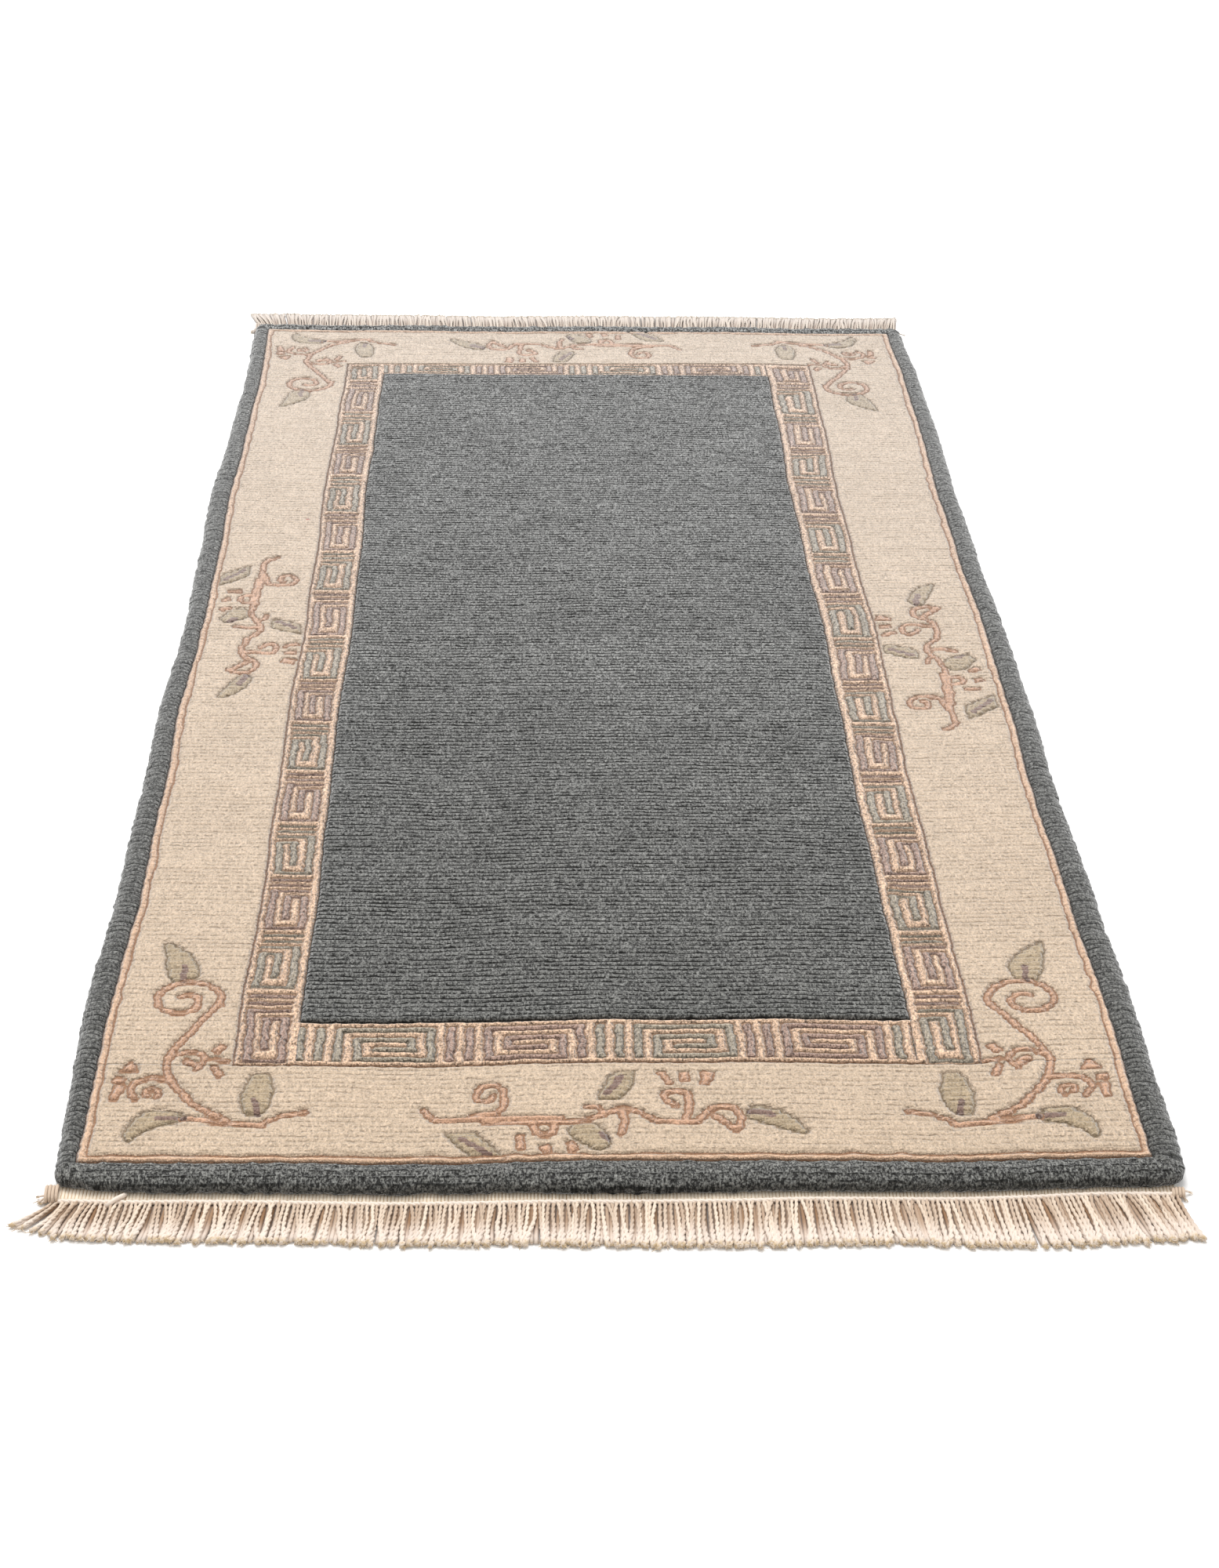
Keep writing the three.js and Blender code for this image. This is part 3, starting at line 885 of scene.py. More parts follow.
def build_outer_edge(material):
    """The band outside the thin line and the tufted face of the pile, as one closed ring."""
    base, outward, spread = edge_outline()
    section = np.array(EDGE_SECTION)
    slope = np.gradient(section, axis=0)
    normal = unit(np.stack([-slope[:, 1], slope[:, 0]], -1))
    half = np.array([LINE_WIDTH / 2, LINE_LENGTH / 2])
    inner = np.clip(base, -half, half)
    inner = inner + INNER_SHARE * (base - inner)
    out = section[:, 0][None, :, None]
    share = np.clip(-out / EDGE_DEPTH, 0, 1)
    flat = base[:, None] * (1 - share) + inner[:, None] * share
    flat = flat + outward[:, None] * np.maximum(out, 0)
    height = np.broadcast_to(section[:, 1], flat.shape[:2])
    loose = ramp(height, *LOOSE_HEIGHTS)
    flat = flat + outward[:, None] * (spread[:, None] * (1 - share[..., 0]) * loose)[..., None]
    u, v = np.moveaxis(flat + half, -1, 0)
    base_v = base[:, 1:] + LINE_LENGTH / 2
    line_row = np.round(base_v / ROW).astype(np.int64)
    on_side = np.abs(outward[:, :1]) > 0.9
    parted = (np.abs(base_v - line_row * ROW) < NOTCH_HALF_WIDTH) & on_side
    least, uneven = NOTCH_SHARES
    notch = parted * (least + uneven * drift_noise(u, line_row, 9, 1, 44)) * ramp(height, *NOTCH_HEIGHTS)
    step = edge_tufts(base, section, slope, height, on_side, notch, np.floor(base_v / ROW).astype(np.int64))
    x, y = np.moveaxis(flat + outward[:, None] * (step * normal[:, 0])[..., None], -1, 0)
    z = height + step * normal[:, 1] + top_unevenness(x, y) * ramp(height, *SWELL_HEIGHTS)
    points = wobbled(x, y, z)
    floor = points[:, [0]].copy()
    floor[..., 2] = GROUND_HEIGHT * MM
    loops = np.concatenate([points, floor], axis=1)
    quads = wrapped_quads(*loops.shape[:2])
    seen = quads[:, :-2].reshape(-1, 4)
    quads = np.concatenate([seen, quads[:, -2:].reshape(-1, 4)])
    values = {
        "gap": notch,
        "row": v / ROW,
        "boundary": section[:, 0] + EDGE_DEPTH,
        # Painted shade: the edge's wool darkens towards the floor.
        "deep": np.where(section[:, 0] > OUTER_FACE, 1 - ramp(height, *DEEP_HEIGHTS), 0),
        "side": on_side,
    }
    values = {key: np.pad(np.broadcast_to(found, u.shape) + 0.0, ((0, 0), (0, 1)))
              for key, found in values.items()}
    return new_piece("outer_edge", loops.reshape(-1, 3), quads[:, ::-1].tolist(), material,
                     flat_from=len(seen), values=values)


# Ground: the foundation with the backs of the knots

BACK_INSET = 0.5


def build_ground(material):
    """A thin slab under the whole pile, whose underside shows the knots' backs."""
    base, outward, _ = edge_outline()
    count = len(base)
    top = placed(*base.T, np.full(count, GROUND_HEIGHT))
    bottom = placed(*(base - BACK_INSET * outward).T, np.zeros(count))
    faces = [list(range(count)), list(range(2 * count - 1, count - 1, -1))]
    for a in range(count):
        b = (a + 1) % count
        faces.append([a, a + count, b + count, b])
    return new_piece("ground", np.vstack([top, bottom]), faces, material, smooth=False)


# Woven ends, cords and fringes

ENDS = {"front": -1, "back": 1}
# How far the woven end and the cord have crept out from under the pile, by place from -1 to 1.
SLACK = {
    "front": ((-1, -0.3, 0, 0.3, 0.8, 1), (4.6, 5.7, 8.0, 5.8, 2.8, 3.5)),
    "back": ((-1, 1), (0.8, 0.8)),
}


def slack(side, x):
    """How far the woven end and the cord have crept out at a place across the rug."""
    return np.interp(np.asarray(x) / CORD_HALF_WIDTH, *SLACK[side])


def past_edge(side, x, out):
    """A place past the foundation's edge at one end, as far out as given."""
    px, py = drifted(x, np.full_like(np.asarray(x, float), ENDS[side] * EDGE_Y))
    return px + SHIFT_X, py + SHIFT_Y + ENDS[side] * out


def by_cord(side, x, out):
    """A place past the foundation's edge that has crept out with the cord."""
    return past_edge(side, x, out + slack(side, x))


RIB_PITCH = 2.2
RIB_SAMPLES = 5
RIB_HEIGHT = 0.8
RIB_SLANT = ((0.12, 9, 5, 51),)
RIB_GRAIN = ((0.15, 2.4, 1.8, 52),)
RIB_SHIFT = 0.25
# The web starts at this height, clear of the pile by this gap, and thins towards the cord.
WEB_TOP = 1.9
WEB_GAP = 0.05
WEB_ROWS = 8
WEB_THINNING = 0.5


def build_web(side, material):
    """The ribbed woven strip between the pile and the cord of one end."""
    half = CORD_HALF_WIDTH - 1
    ribs = round(2 * half / RIB_PITCH)
    x = np.linspace(-half, half, ribs * RIB_SAMPLES + 1)
    share = np.linspace(0, 1, WEB_ROWS)
    x, share = np.meshgrid(x, share[::ENDS[side]])
    out = WEB_GAP + share * (WEB_DEPTH + PARTING + slack(side, x))
    phase = (x + half) / RIB_PITCH + bumps(x, out, RIB_SLANT)
    crown = np.abs(np.sin(math.pi * phase)) ** 0.8
    number = np.floor(phase).astype(np.int64)
    z = WEB_TOP + RIB_HEIGHT * crown - WEB_THINNING * ramp(share, 0.75, 1.0) + bumps(x, out, RIB_GRAIN)
    px, py = past_edge(side, x, out)
    top = np.stack([px, py + RIB_SHIFT * drift_noise(number, number, 1, 1, 53), z], -1) * MM
    points, faces = closed_patch(top, 0)
    extra = len(points) - x.size
    tone = np.concatenate([chance(number, 0, 54).ravel(), np.full(extra, 0.5)])
    # Painted shade between the ribs.
    deep = np.concatenate([(1 - crown).ravel(), np.zeros(extra)])
    return new_piece("woven_end_ribs_" + side, points, faces, material, flat_from=quad_count(x),
                     values={"tone": tone, "deep": deep})


def swept(path, radius, sides, across, up):
    """Points round a path, from the two directions of each section, and the faces between them."""
    angle = np.arange(sides)[:, None] * 2 * math.pi / sides
    ring = np.cos(angle) * across[:, None] + np.sin(angle) * up[:, None]
    points = path[:, None] + np.broadcast_to(radius, len(path))[:, None, None] * ring
    return points.reshape(-1, 3), wrapped_quads(len(path), sides)


def tube(path, radius, sides):
    """Points and faces of a closed tube along a path that never stands upright."""
    ahead = unit(np.gradient(path, axis=0))
    level = unit(np.cross(ahead, [0, 0, 1]))
    points, quads = swept(path, radius, sides, level, np.cross(level, ahead))
    faces = quads[:-1].reshape(-1, 4).tolist()
    last = len(points) - sides
    faces.append(list(range(sides - 1, -1, -1)))
    faces.append(list(range(last, last + sides)))
    return points, faces


def ring_tube(path, radius, sides):
    """Points and faces of a tube along a closed path."""
    ahead = unit(np.roll(path, -1, 0) - np.roll(path, 1, 0))
    level = unit(np.cross(ahead, unit(path - path.mean(0))))
    points, quads = swept(path, radius, sides, np.cross(level, ahead), level)
    return points, quads[..., [0, 3, 2, 1]].reshape(-1, 4).tolist()


def yarn(path, radius, sides, along, tone, shape=tube):
    """Yarn on a path in millimetres, with its place along its strand and its tone for the shader."""
    points, faces = shape(path * MM, radius * MM, sides)
    along = np.repeat(np.broadcast_to(along, len(path)), sides)
    return points, faces, {"along": along, "tone": np.full(len(points), tone)}


CORD_PLY_PITCH = 9.0
CORD_PLY_RADIUS = 1.3
CORD_TWIST_RADIUS = 0.5
CORD_STATION = 1.2
CORD_SIDES = 6
CORD_LIFT = 1.3
CORD_SWAY = ((0.4, 38, 1, 55),)


def cord_parts(side):
    """The two plies of the cord that is twined round the warps past the woven end."""
    x = np.arange(-CORD_HALF_WIDTH, CORD_HALF_WIDTH, CORD_STATION)
    px, py = by_cord(side, x, CORD_START + CORD_DEPTH / 2)
    py = py + bumps(x, 0, CORD_SWAY)
    parts = []
    for ply in (0, 1):
        angle = 2 * math.pi * x / CORD_PLY_PITCH + math.pi * ply
        y = py + CORD_TWIST_RADIUS * np.cos(angle)
        z = CORD_PLY_RADIUS + CORD_LIFT + CORD_TWIST_RADIUS * np.sin(angle)
        parts.append(yarn(np.stack([px, y, z], -1), CORD_PLY_RADIUS, CORD_SIDES, 0.75, 1.0))
    return parts


# Each end has this many strands on top and as many in the lower layer.
STRANDS_PER_END = 232
PLY_RADIUS = 0.88
TWIST_RADIUS = 0.55
TWIST_PITCH = 9.5
TWISTED_LENGTH = 40
# How much the plies thicken and part towards the cut end, as (share, from, to).
THICKENING = (0.4, 0.35, 0.9)
UNTWISTING = (1.1, 0.3, 1.0)
# The lower layer's strands are flattened on the floor.
UNDER_RADIUS = 1.8
UNDER_LONGER = 1.2
UNDER_MIDDLE = 0.9
UNDER_RAISED = 1.1
UNDER_FLATNESS = 0.6
# The lower layer's low tones take much of the dark warm yarn colour: painted shade under the top strands.
UNDER_TONES = (0.05, 0.45)
TONES = (0.45, 1)
STRAND_SIDES = 5
UNDER_SIDES = 4
# How far back under the cord a strand starts.
UNDER_CORD = 1.6
# Spread of the strands' length, bow, wave and arch, and how high a top strand's root lies on the others.
LENGTH_SPREAD = 0.7
BOW, LOW_BOW = 1.2, 0.3
WAVE, LOW_WAVE = 0.5, 0.2
ARCH = 0.7
ROOT_LIFTS = (0.9, 1.7)
TIP_LIFT = 1.15
STATIONS = {"front": 14, "back": 9}
# Strand length by place from -1 at the left to 1 at the right.
STRAND_LENGTH = {
    "front": ((-1, -0.985, -0.95, -0.8, -0.54, -0.28, 0, 0.3, 0.5, 0.72, 0.87, 1),
              (17, 21, 29, 31, 32, 33, 35.5, 37.5, 35.5, 40.5, 40, 36)),
    "back": ((-1, 1), (42, 42)),
}
# Sideways lean of the tips, by the same places.
LEAN = {
    "front": ((-1, -0.985, -0.965, -0.93, -0.85, -0.6, -0.3, 0, 0.3, 0.6, 0.8, 0.93, 1),
              (-24, -18, -11, -6, -4.5, -3.5, -2, -1, 0, 3, 7, 11, 8)),
    "back": ((-1, -0.95, -0.87, -0.75, -0.1, 0.4, 0.75, 1), (-16, -9, -4, -1.5, -3, 4, 6, 7)),
}
LOCK_SIZES = (2, 6)
DRAWN_TOGETHER = 0.12
# Spread of the roots, and of the tips' ways in a lock and of its single strands.
ROOT_SPREAD = 0.25
LOCK_SPREAD = 1.6
STRAND_SPREAD = 1.3


def strand_plan(side, unruly, rng):
    """Root place and the tip's sideways way of each strand: neighbours draw together in small locks."""
    count = STRANDS_PER_END
    pitch = 2 * CORD_HALF_WIDTH / count
    roots = -CORD_HALF_WIDTH + pitch * (np.arange(count) + 0.5) + rng.normal(0, ROOT_SPREAD, count)
    ways = np.empty(count)
    first = 0
    while first < count:
        last = min(first + rng.integers(*LOCK_SIZES), count)
        lock = roots[first:last]
        lean = np.interp(lock / CORD_HALF_WIDTH, *LEAN[side]) + rng.normal(0, LOCK_SPREAD * unruly)
        own = rng.normal(0, STRAND_SPREAD * unruly, len(lock))
        ways[first:last] = lean + DRAWN_TOGETHER * unruly * (lock.mean() - lock) + own
        first = last
    return zip(roots, ways)


def strand_path(side, root_x, way, low, rng):
    """Middle line of one strand from under the cord to its tip, and the shares of its length."""
    t = np.linspace(0, 1, STATIONS[side])
    root = by_cord(side, root_x, FRINGE_START - UNDER_CORD)
    length = np.interp(root_x / CORD_HALF_WIDTH, *STRAND_LENGTH[side]) + rng.normal(0, LENGTH_SPREAD)
    bow = rng.normal(0, LOW_BOW if low else BOW)
    wave = rng.normal(0, LOW_WAVE if low else WAVE)
    phase = rng.uniform(0, 2 * math.pi)
    x = root[0] + way * t**1.3 + bow * np.sin(math.pi * t) + wave * t * np.sin(9 * t + phase)
    y = root[1] + ENDS[side] * (length + UNDER_CORD + (UNDER_LONGER if low else 0)) * t
    if low:
        z = np.full_like(t, UNDER_MIDDLE)
    else:
        rest = PLY_RADIUS + TWIST_RADIUS + rng.uniform(*ROOT_LIFTS)
        tip = TIP_LIFT * PLY_RADIUS + TWIST_RADIUS
        z = rest + (tip - rest) * t**2 + abs(rng.normal(0, ARCH)) * np.sin(math.pi * t)
    return np.stack([x, y, z], -1), t


def grown(t, growth):
    """1 at the root, and more towards the cut end by a (share, from, to)."""
    share, low, high = growth
    return 1 + share * ramp(t, low, high)


def strand_parts(side, root_x, way, rng):
    """Two twisted plies that loosen towards their cut ends, with the loose hairs there."""
    path, t = strand_path(side, root_x, way, False, rng)
    tone = rng.uniform(*TONES)
    start = rng.uniform(0, 2 * math.pi)
    parts = []
    for ply in (0, 1):
        angle = start + math.pi * ply + 2 * math.pi * t * TWISTED_LENGTH / TWIST_PITCH
        centre = path.copy()
        centre[:, 0] += TWIST_RADIUS * grown(t, UNTWISTING) * np.cos(angle)
        centre[:, 2] += TWIST_RADIUS * np.sin(angle)
        thick = PLY_RADIUS * grown(t, THICKENING) * (1 + rng.normal(0, 0.05))
        parts.append(yarn(centre, thick, STRAND_SIDES, t, tone))
        parts.extend(hair_parts(centre[-2:], 4, tone, rng))
    return parts


def under_strand_parts(side, root_x, way, rng):
    """A strand of the lower layer, flat on the floor in the shade of those on top of it."""
    path, t = strand_path(side, root_x, way, True, rng)
    t, path = t[::2], path[::2]
    points, faces, values = yarn(path, UNDER_RADIUS, UNDER_SIDES, t, rng.uniform(*UNDER_TONES))
    points[:, 2] = UNDER_RAISED * MM + (points[:, 2] - UNDER_MIDDLE * MM) * UNDER_FLATNESS
    return [(points, faces, values)] + hair_parts(path[-2:], 5, 0.3, rng)


HAIR_LENGTH = 2.6
HAIR_RADII = np.array([0.42, 0.36, 0.2])
# How far hairs fan out from the strand, how far their roots are spread, and how deep these start in it.
HAIR_FAN = (0.55, 0.3, 0.35)
HAIR_ROOTS = (0.5, 0.4, 0.3)
HAIR_START = 1.2
HAIR_FLOOR = 0.45


def hair_parts(tip, count, tone, rng):
    """Loose hairs that fan out from a cut end."""
    ahead = unit(tip[1] - tip[0])
    parts = []
    for _ in range(count):
        fan = ahead + rng.normal(0, HAIR_FAN)
        reach = HAIR_LENGTH * rng.uniform(0.35, 1.0)
        t = np.linspace(0, 1, len(HAIR_RADII))[:, None]
        start = tip[1] - ahead * HAIR_START + rng.normal(0, HAIR_ROOTS)
        path = start + fan * reach * t
        path[:, 2] = np.clip(path[:, 2], HAIR_FLOOR, None)
        parts.append(yarn(path, HAIR_RADII, 3, rng.uniform(0.95, 1.2), tone))
    return parts


BUNDLE_X = 347.9
BUNDLE_TURNS = 4
BUNDLE_TURN_PITCH = 2.1
BUNDLE_YARN_RADIUS = 1.05
BUNDLE_LOW = 1.2
# Half height of a bundle as a share of its half depth, and how far its rings slant.
BUNDLE_FLATNESS = 0.48
BUNDLE_SLANT = 0.35
LOOSE_END_LENGTHS = (5, 10)
LOOSE_END_HEIGHTS = (1.5, 4.5)
LOOSE_END_RADIUS = 0.7
LOOSE_END_BOW = 1.2
# Half depth of each bundle, how far in from the cord it sits, and its number of loose ends.
BUNDLES = {
    ("front", -1): (6.2, 6.5, 7),
    ("front", 1): (3.4, 3.6, 3),
    ("back", -1): (8.0, 6.0, 14),
    ("back", 1): (3.4, 3.6, 3),
}


def bundle_parts(side, hand, rng):
    """The wrapped knot of edge warps at one end of the cord, with its loose ends."""
    half_depth, inward, loose_ends = BUNDLES[side, hand]
    centre_x, centre_y = by_cord(side, hand * BUNDLE_X, FRINGE_START - inward)
    angle = np.linspace(0, 2 * math.pi, 14)[:-1]
    parts = []
    for turn in range(BUNDLE_TURNS):
        shift = (turn - (BUNDLE_TURNS - 1) / 2) * BUNDLE_TURN_PITCH
        x = centre_x + shift + BUNDLE_SLANT * hand * np.cos(angle)
        y = centre_y + half_depth * np.cos(angle) + 0.5 * rng.normal()
        z = BUNDLE_LOW + BUNDLE_FLATNESS * half_depth * (1 + np.sin(angle))
        parts.append(yarn(np.stack([x, y, z], -1), BUNDLE_YARN_RADIUS, 6, 0, 0.6, ring_tube))
    t = np.linspace(0, 1, 6)
    for _ in range(loose_ends):
        reach = rng.uniform(*LOOSE_END_LENGTHS)
        direction = unit(np.array([hand * rng.uniform(0.5, 1.0), ENDS[side] * rng.uniform(-0.35, 0.9), 0]))
        start = np.array([centre_x, centre_y, rng.uniform(*LOOSE_END_HEIGHTS)])
        path = start + direction * reach * t[:, None]
        bow = LOOSE_END_BOW * np.sin(math.pi * t)
        path[:, 2] = np.maximum(start[2] * (1 - t) + 0.9 * t + bow, 0.8)
        path[:, 0] += LOOSE_END_BOW * np.sin(2.5 * t + rng.uniform(0, 6))
        parts.append(yarn(path, LOOSE_END_RADIUS, 5, 0.5 + 0.5 * t, rng.uniform()))
        parts.extend(hair_parts(path[-2:], 4, 0.5, rng))
    return parts


TIE_X = -307.5
TIE_RADIUS = 1.6
# The tied yarn's way over the cord, from its own place there.
TIE_PATH = ((-6, -5.5, 2.6), (-3.5, -4, 4.2), (0, -1.5, 5.2), (3, 1.5, 4.6), (4.5, 4.5, 3.2))


def tie_parts(side, rng):
    """The loose end of yarn that was tied over the cord near its left end."""
    x, y = by_cord(side, TIE_X, CORD_START)
    path = np.array([x, y, 0.0]) + np.array(TIE_PATH)
    return [yarn(path, TIE_RADIUS, 7, 0.7, 1.0)] + hair_parts(path[1::-1], 4, 1.0, rng)


def yarn_piece(name, parts, material):
    points, faces, values = joined(parts)
    return new_piece(name, points, faces, material, values=values)


def build_fringe(side, material):
    """All strands of one end as one piece, and its cord with the knots at both ends as another."""
    rng = np.random.default_rng(7 if side == "front" else 11)
    parts = []
    for root_x, way in strand_plan(side, 0.2, rng):
        parts.extend(under_strand_parts(side, root_x, way, rng))
    for root_x, way in strand_plan(side, 1.0, rng):
        parts.extend(strand_parts(side, root_x, way, rng))
    strands = yarn_piece("fringe_strands_" + side, parts, material)
    parts = cord_parts(side)
    for hand in (-1, 1):
        parts.extend(bundle_parts(side, hand, rng))
    if side == "front":
        parts.extend(tie_parts(side, rng))
    return strands, yarn_piece("twined_cord_" + side, parts, material)


# Colours

# How a screen's colour numbers are turned into light.
SCREEN_TOP = 255
SCREEN_LINEAR_BELOW = 0.04045


def linear(red, green, blue):
    """A colour as Blender counts it, from the numbers 0 to 255 that a screen shows."""
    def one(number):
        c = number / SCREEN_TOP
        return c / 12.92 if c <= SCREEN_LINEAR_BELOW else ((c + 0.055) / 1.055) ** 2.4
    return (one(red), one(green), one(blue), 1.0)


# Shader trees

class Signal:
    """An output of a shader node. Each sum of signals is worked out by a node of its own."""

    def __init__(self, tree, socket):
        self.tree = tree
        self.socket = socket

    def __add__(self, other):
        return self.tree.math("ADD", self, other)

    def __sub__(self, other):
        return self.tree.math("SUBTRACT", self, other)

    def __rsub__(self, other):
        return self.tree.math("SUBTRACT", other, self)

    def __mul__(self, other):
        return self.tree.math("MULTIPLY", self, other)

    def __abs__(self):
        return self.tree.math("ABSOLUTE", self)


# Nodes are set out in rows of this many, with this much room for each.
NODES_PER_ROW = 12
NODE_WIDTH = 170
NODE_HEIGHT = 260


class Tree:
    """Adds nodes to a tree. What is given for an input is linked if it is a signal, else set."""

    def __init__(self, tree):
        self.tree = tree

    def node(self, kind, inputs=(), **settings):
        made = self.tree.nodes.new(kind)
        row, column = divmod(len(self.tree.nodes), NODES_PER_ROW)
        made.location = (NODE_WIDTH * column, -NODE_HEIGHT * row)
        for key, value in settings.items():
            setattr(made, key, value)
        for key, value in dict(inputs).items():
            self.feed(made.inputs[key], value)
        return made

    def feed(self, socket, value):
        if isinstance(value, Signal):
            self.tree.links.new(value.socket, socket)
        else:
            socket.default_value = value

    def signals(self, kind, inputs=(), **settings):
        """All outputs of a new node, by name."""
        made = self.node(kind, inputs, **settings)
        return {socket.name: Signal(self, socket) for socket in made.outputs}

    def signal(self, kind, inputs=(), output=0, **settings):
        return Signal(self, self.node(kind, inputs, **settings).outputs[output])

    def math(self, operation, a, b=0.0):
        return self.signal("ShaderNodeMath", {0: a, 1: b}, operation=operation)

    def scaled(self, vector, by):
        return self.signal("ShaderNodeVectorMath", {0: vector, 1: by}, operation="MULTIPLY")

    def dimmed(self, color, by):
        return self.signal("ShaderNodeVectorMath", {0: color, "Scale": by}, operation="SCALE")

    def noise(self, vector, scale, detail=2.0, roughness=0.6):
        """Cloudy noise. Its scale is one number, or one for each direction."""
        if isinstance(scale, tuple):
            vector, scale = self.scaled(vector, scale), 1.0
        inputs = {"Vector": vector, "Scale": scale, "Detail": detail, "Roughness": roughness}
        return self.signal("ShaderNodeTexNoise", inputs)

    def between(self, value, low, high, to_low=0.0, to_high=1.0):
        """A smooth step of value from low to high."""
        inputs = {"Value": value, "From Min": low, "From Max": high, "To Min": to_low, "To Max": to_high}
        return self.signal("ShaderNodeMapRange", inputs, interpolation_type="SMOOTHSTEP")

    def mix(self, factor, a, b):
        return self.signal("ShaderNodeMix", {0: factor, 6: a, 7: b}, output=2, data_type="RGBA")

    def split(self, vector):
        return self.signals("ShaderNodeSeparateXYZ", {0: vector}).values()

    def attribute(self, name):
        settings = {"attribute_name": name, "attribute_type": "GEOMETRY"}
        return self.signal("ShaderNodeAttribute", output="Fac", **settings)

    def place(self):
        return self.signal("ShaderNodeTexCoord", output="Object")

    def nearest_outline(self, names):
        """Distance to the nearest band line or outline of the drawn shapes named."""
        found = self.attribute("boundary")
        for name in names:
            found = self.math("MINIMUM", found, abs(self.attribute(name)))
        return found

    def shared(self, name, inputs):
        """The outputs of a shared node group, which is made the first time that it is asked for."""
        group = bpy.data.node_groups.get(name) or SHARED_GROUPS[name]()
        return self.signals("ShaderNodeGroup", inputs, node_tree=group)

    def shade(self, inputs):
        """Ends the tree with its shader. The constant values sit on the shader itself."""
        shader = self.node("ShaderNodeBsdfPrincipled", inputs)
        output = self.node("ShaderNodeOutputMaterial")
        self.tree.links.new(shader.outputs[0], output.inputs[0])


MID_GREY = (0.5, 0.5, 0.5, 1)


def new_group(name, inputs, outputs):
    """A shader node group. Its inputs are given by name and value, where a vector has None."""
    group = bpy.data.node_groups.new(name, "ShaderNodeTree")
    for key, value in inputs.items():
        kind = "Vector" if value is None else "Color" if isinstance(value, tuple) else "Float"
        socket = group.interface.new_socket(key, in_out="INPUT", socket_type="NodeSocket" + kind)
        if value is not None:
            socket.default_value = value
    for key in outputs:
        kind = "Color" if key == "Color" else "Float"
        group.interface.new_socket(key, in_out="OUTPUT", socket_type="NodeSocket" + kind)
    tree = Tree(group)
    given = tree.signals("NodeGroupInput")
    result = tree.node("NodeGroupOutput").inputs
    return group, tree, given, result


# Where a row's parting and its bead of knots begin and are full, in rows from the line between two rows.
PARTING_SPAN = (0.19, 0.06)
BEAD_SPAN = (0.42, 0.05)
# Grain along a row, from the coarsest to the finest.
ROW_TONE_SCALE = 45
DASH_SCALES = (28, 150)
DOT_SCALE = 420
ROW_TO_ROW = 7.31


def knot_rows_group():
    """Where the rows of knots part: wavy broken lines across the rug, one to each row."""
    group, tree, given, result = new_group(
        "Knot rows", {"Vector": None, "Row": 0.0, "Share": 0.5}, ("Parting", "Tone", "Bead"))
    place = given["Vector"]
    row = given["Row"] + (tree.noise(place, 120, detail=1, roughness=0.5) - 0.5) * 0.5
    line = tree.math("ROUND", row)
    off = abs(row - line)
    across, _, _ = tree.split(place)

    def along_row(scale, number, seed):
        spot = tree.signal("ShaderNodeCombineXYZ", {0: across * scale, 1: number * ROW_TO_ROW, 2: seed})
        return tree.noise(spot, 1.0)

    strength = along_row(DASH_SCALES[0], line, 1.0) * 0.5 + along_row(DASH_SCALES[1], line, 5.0) * 0.5
    strength = strength + (along_row(DOT_SCALE, line, 3.0) - 0.5) * 0.7
    shown = tree.between(strength - (0.64 - given["Share"] * 0.32), 0.0, 0.14)
    tree.feed(result["Parting"], shown * tree.between(off, *PARTING_SPAN))
    tree.feed(result["Tone"], along_row(ROW_TONE_SCALE, tree.math("FLOOR", row), 9.0))
    tree.feed(result["Bead"], tree.between(off, *BEAD_SPAN))
    return group


# Scales of the wool's grain across, along and up: tufts that clump, single hairs and cut yarn ends.
CLUMP_SCALE = (700, 260, 360)
HAIR_SCALE = (1100, 620, 900)
YARN_END_SCALE = 520.0
MEAN_NAP = 0.95
DARKEST_NAP = 0.2
# Millimetres from an outline at which its clipped groove begins and is full, and its shoulders' rise.
GROOVE_SPAN = (1.05, 0.25)
SHOULDER_SPAN = (0.2, 2.6)
SHOULDER_RISE = 1.1


def wool_nap_group():
    """Cut wool: tufts, hairs, parted rows and clipped grooves, as a colour and a height, with painted shade
    in the partings and grooves.
    """
    inputs = {"Vector": None, "Base Color": MID_GREY, "Parting": 0.0, "Groove": 9.0, "Bead": 0.0,
              "Groove Darkness": 0.8, "Contrast": 1.0}
    group, tree, given, result = new_group("Wool nap", inputs, ("Color", "Height", "Open"))
    place = given["Vector"]
    base = given["Base Color"]
    hairs = tree.noise(place, HAIR_SCALE, roughness=0.7)
    ends = tree.signal("ShaderNodeTexVoronoi", {"Vector": place, "Scale": YARN_END_SCALE}, output="Distance")
    nap = tree.noise(place, CLUMP_SCALE) * 1.2 + hairs * 1.2 - ends * 0.5
    light = tree.math("MAXIMUM", (nap - MEAN_NAP) * given["Contrast"] + 1.0, DARKEST_NAP)
    rough_groove = given["Groove"] + (hairs - 0.5) * 1.8 - given["Bead"] * 0.7
    groove = tree.between(rough_groove, *GROOVE_SPAN) * given["Groove Darkness"]
    dark = tree.math("MAXIMUM", given["Parting"], groove)
    # Painted shade: a darker, deeper colour of the wool for its partings and grooves.
    deep = tree.signal("ShaderNodeGamma", {"Color": base, "Gamma": 1.5})
    shoulders = tree.between(given["Groove"], *SHOULDER_SPAN, 0.0, SHOULDER_RISE)
    tree.feed(result["Color"], tree.mix(dark, tree.dimmed(base, light), tree.dimmed(deep, 0.4)))
    tree.feed(result["Height"], nap + shoulders - dark * 0.9)
    tree.feed(result["Open"], 1.0 - dark)
    return group


# Painted sheen: the pale tone that the wool is mixed towards at the far end of the rug, painted in for the
# paler look of wool seen at a low angle.
FAR_SHEEN_TONE = (0.55, 0.56, 0.58, 1)
# Metres along the rug between which the painted sheen grows.
FAR_SHEEN_SPAN = (-0.9, 0.75)
DYE_BATCH_SCALE = (1.5, 8, 1)
PATCH_SCALE = 11


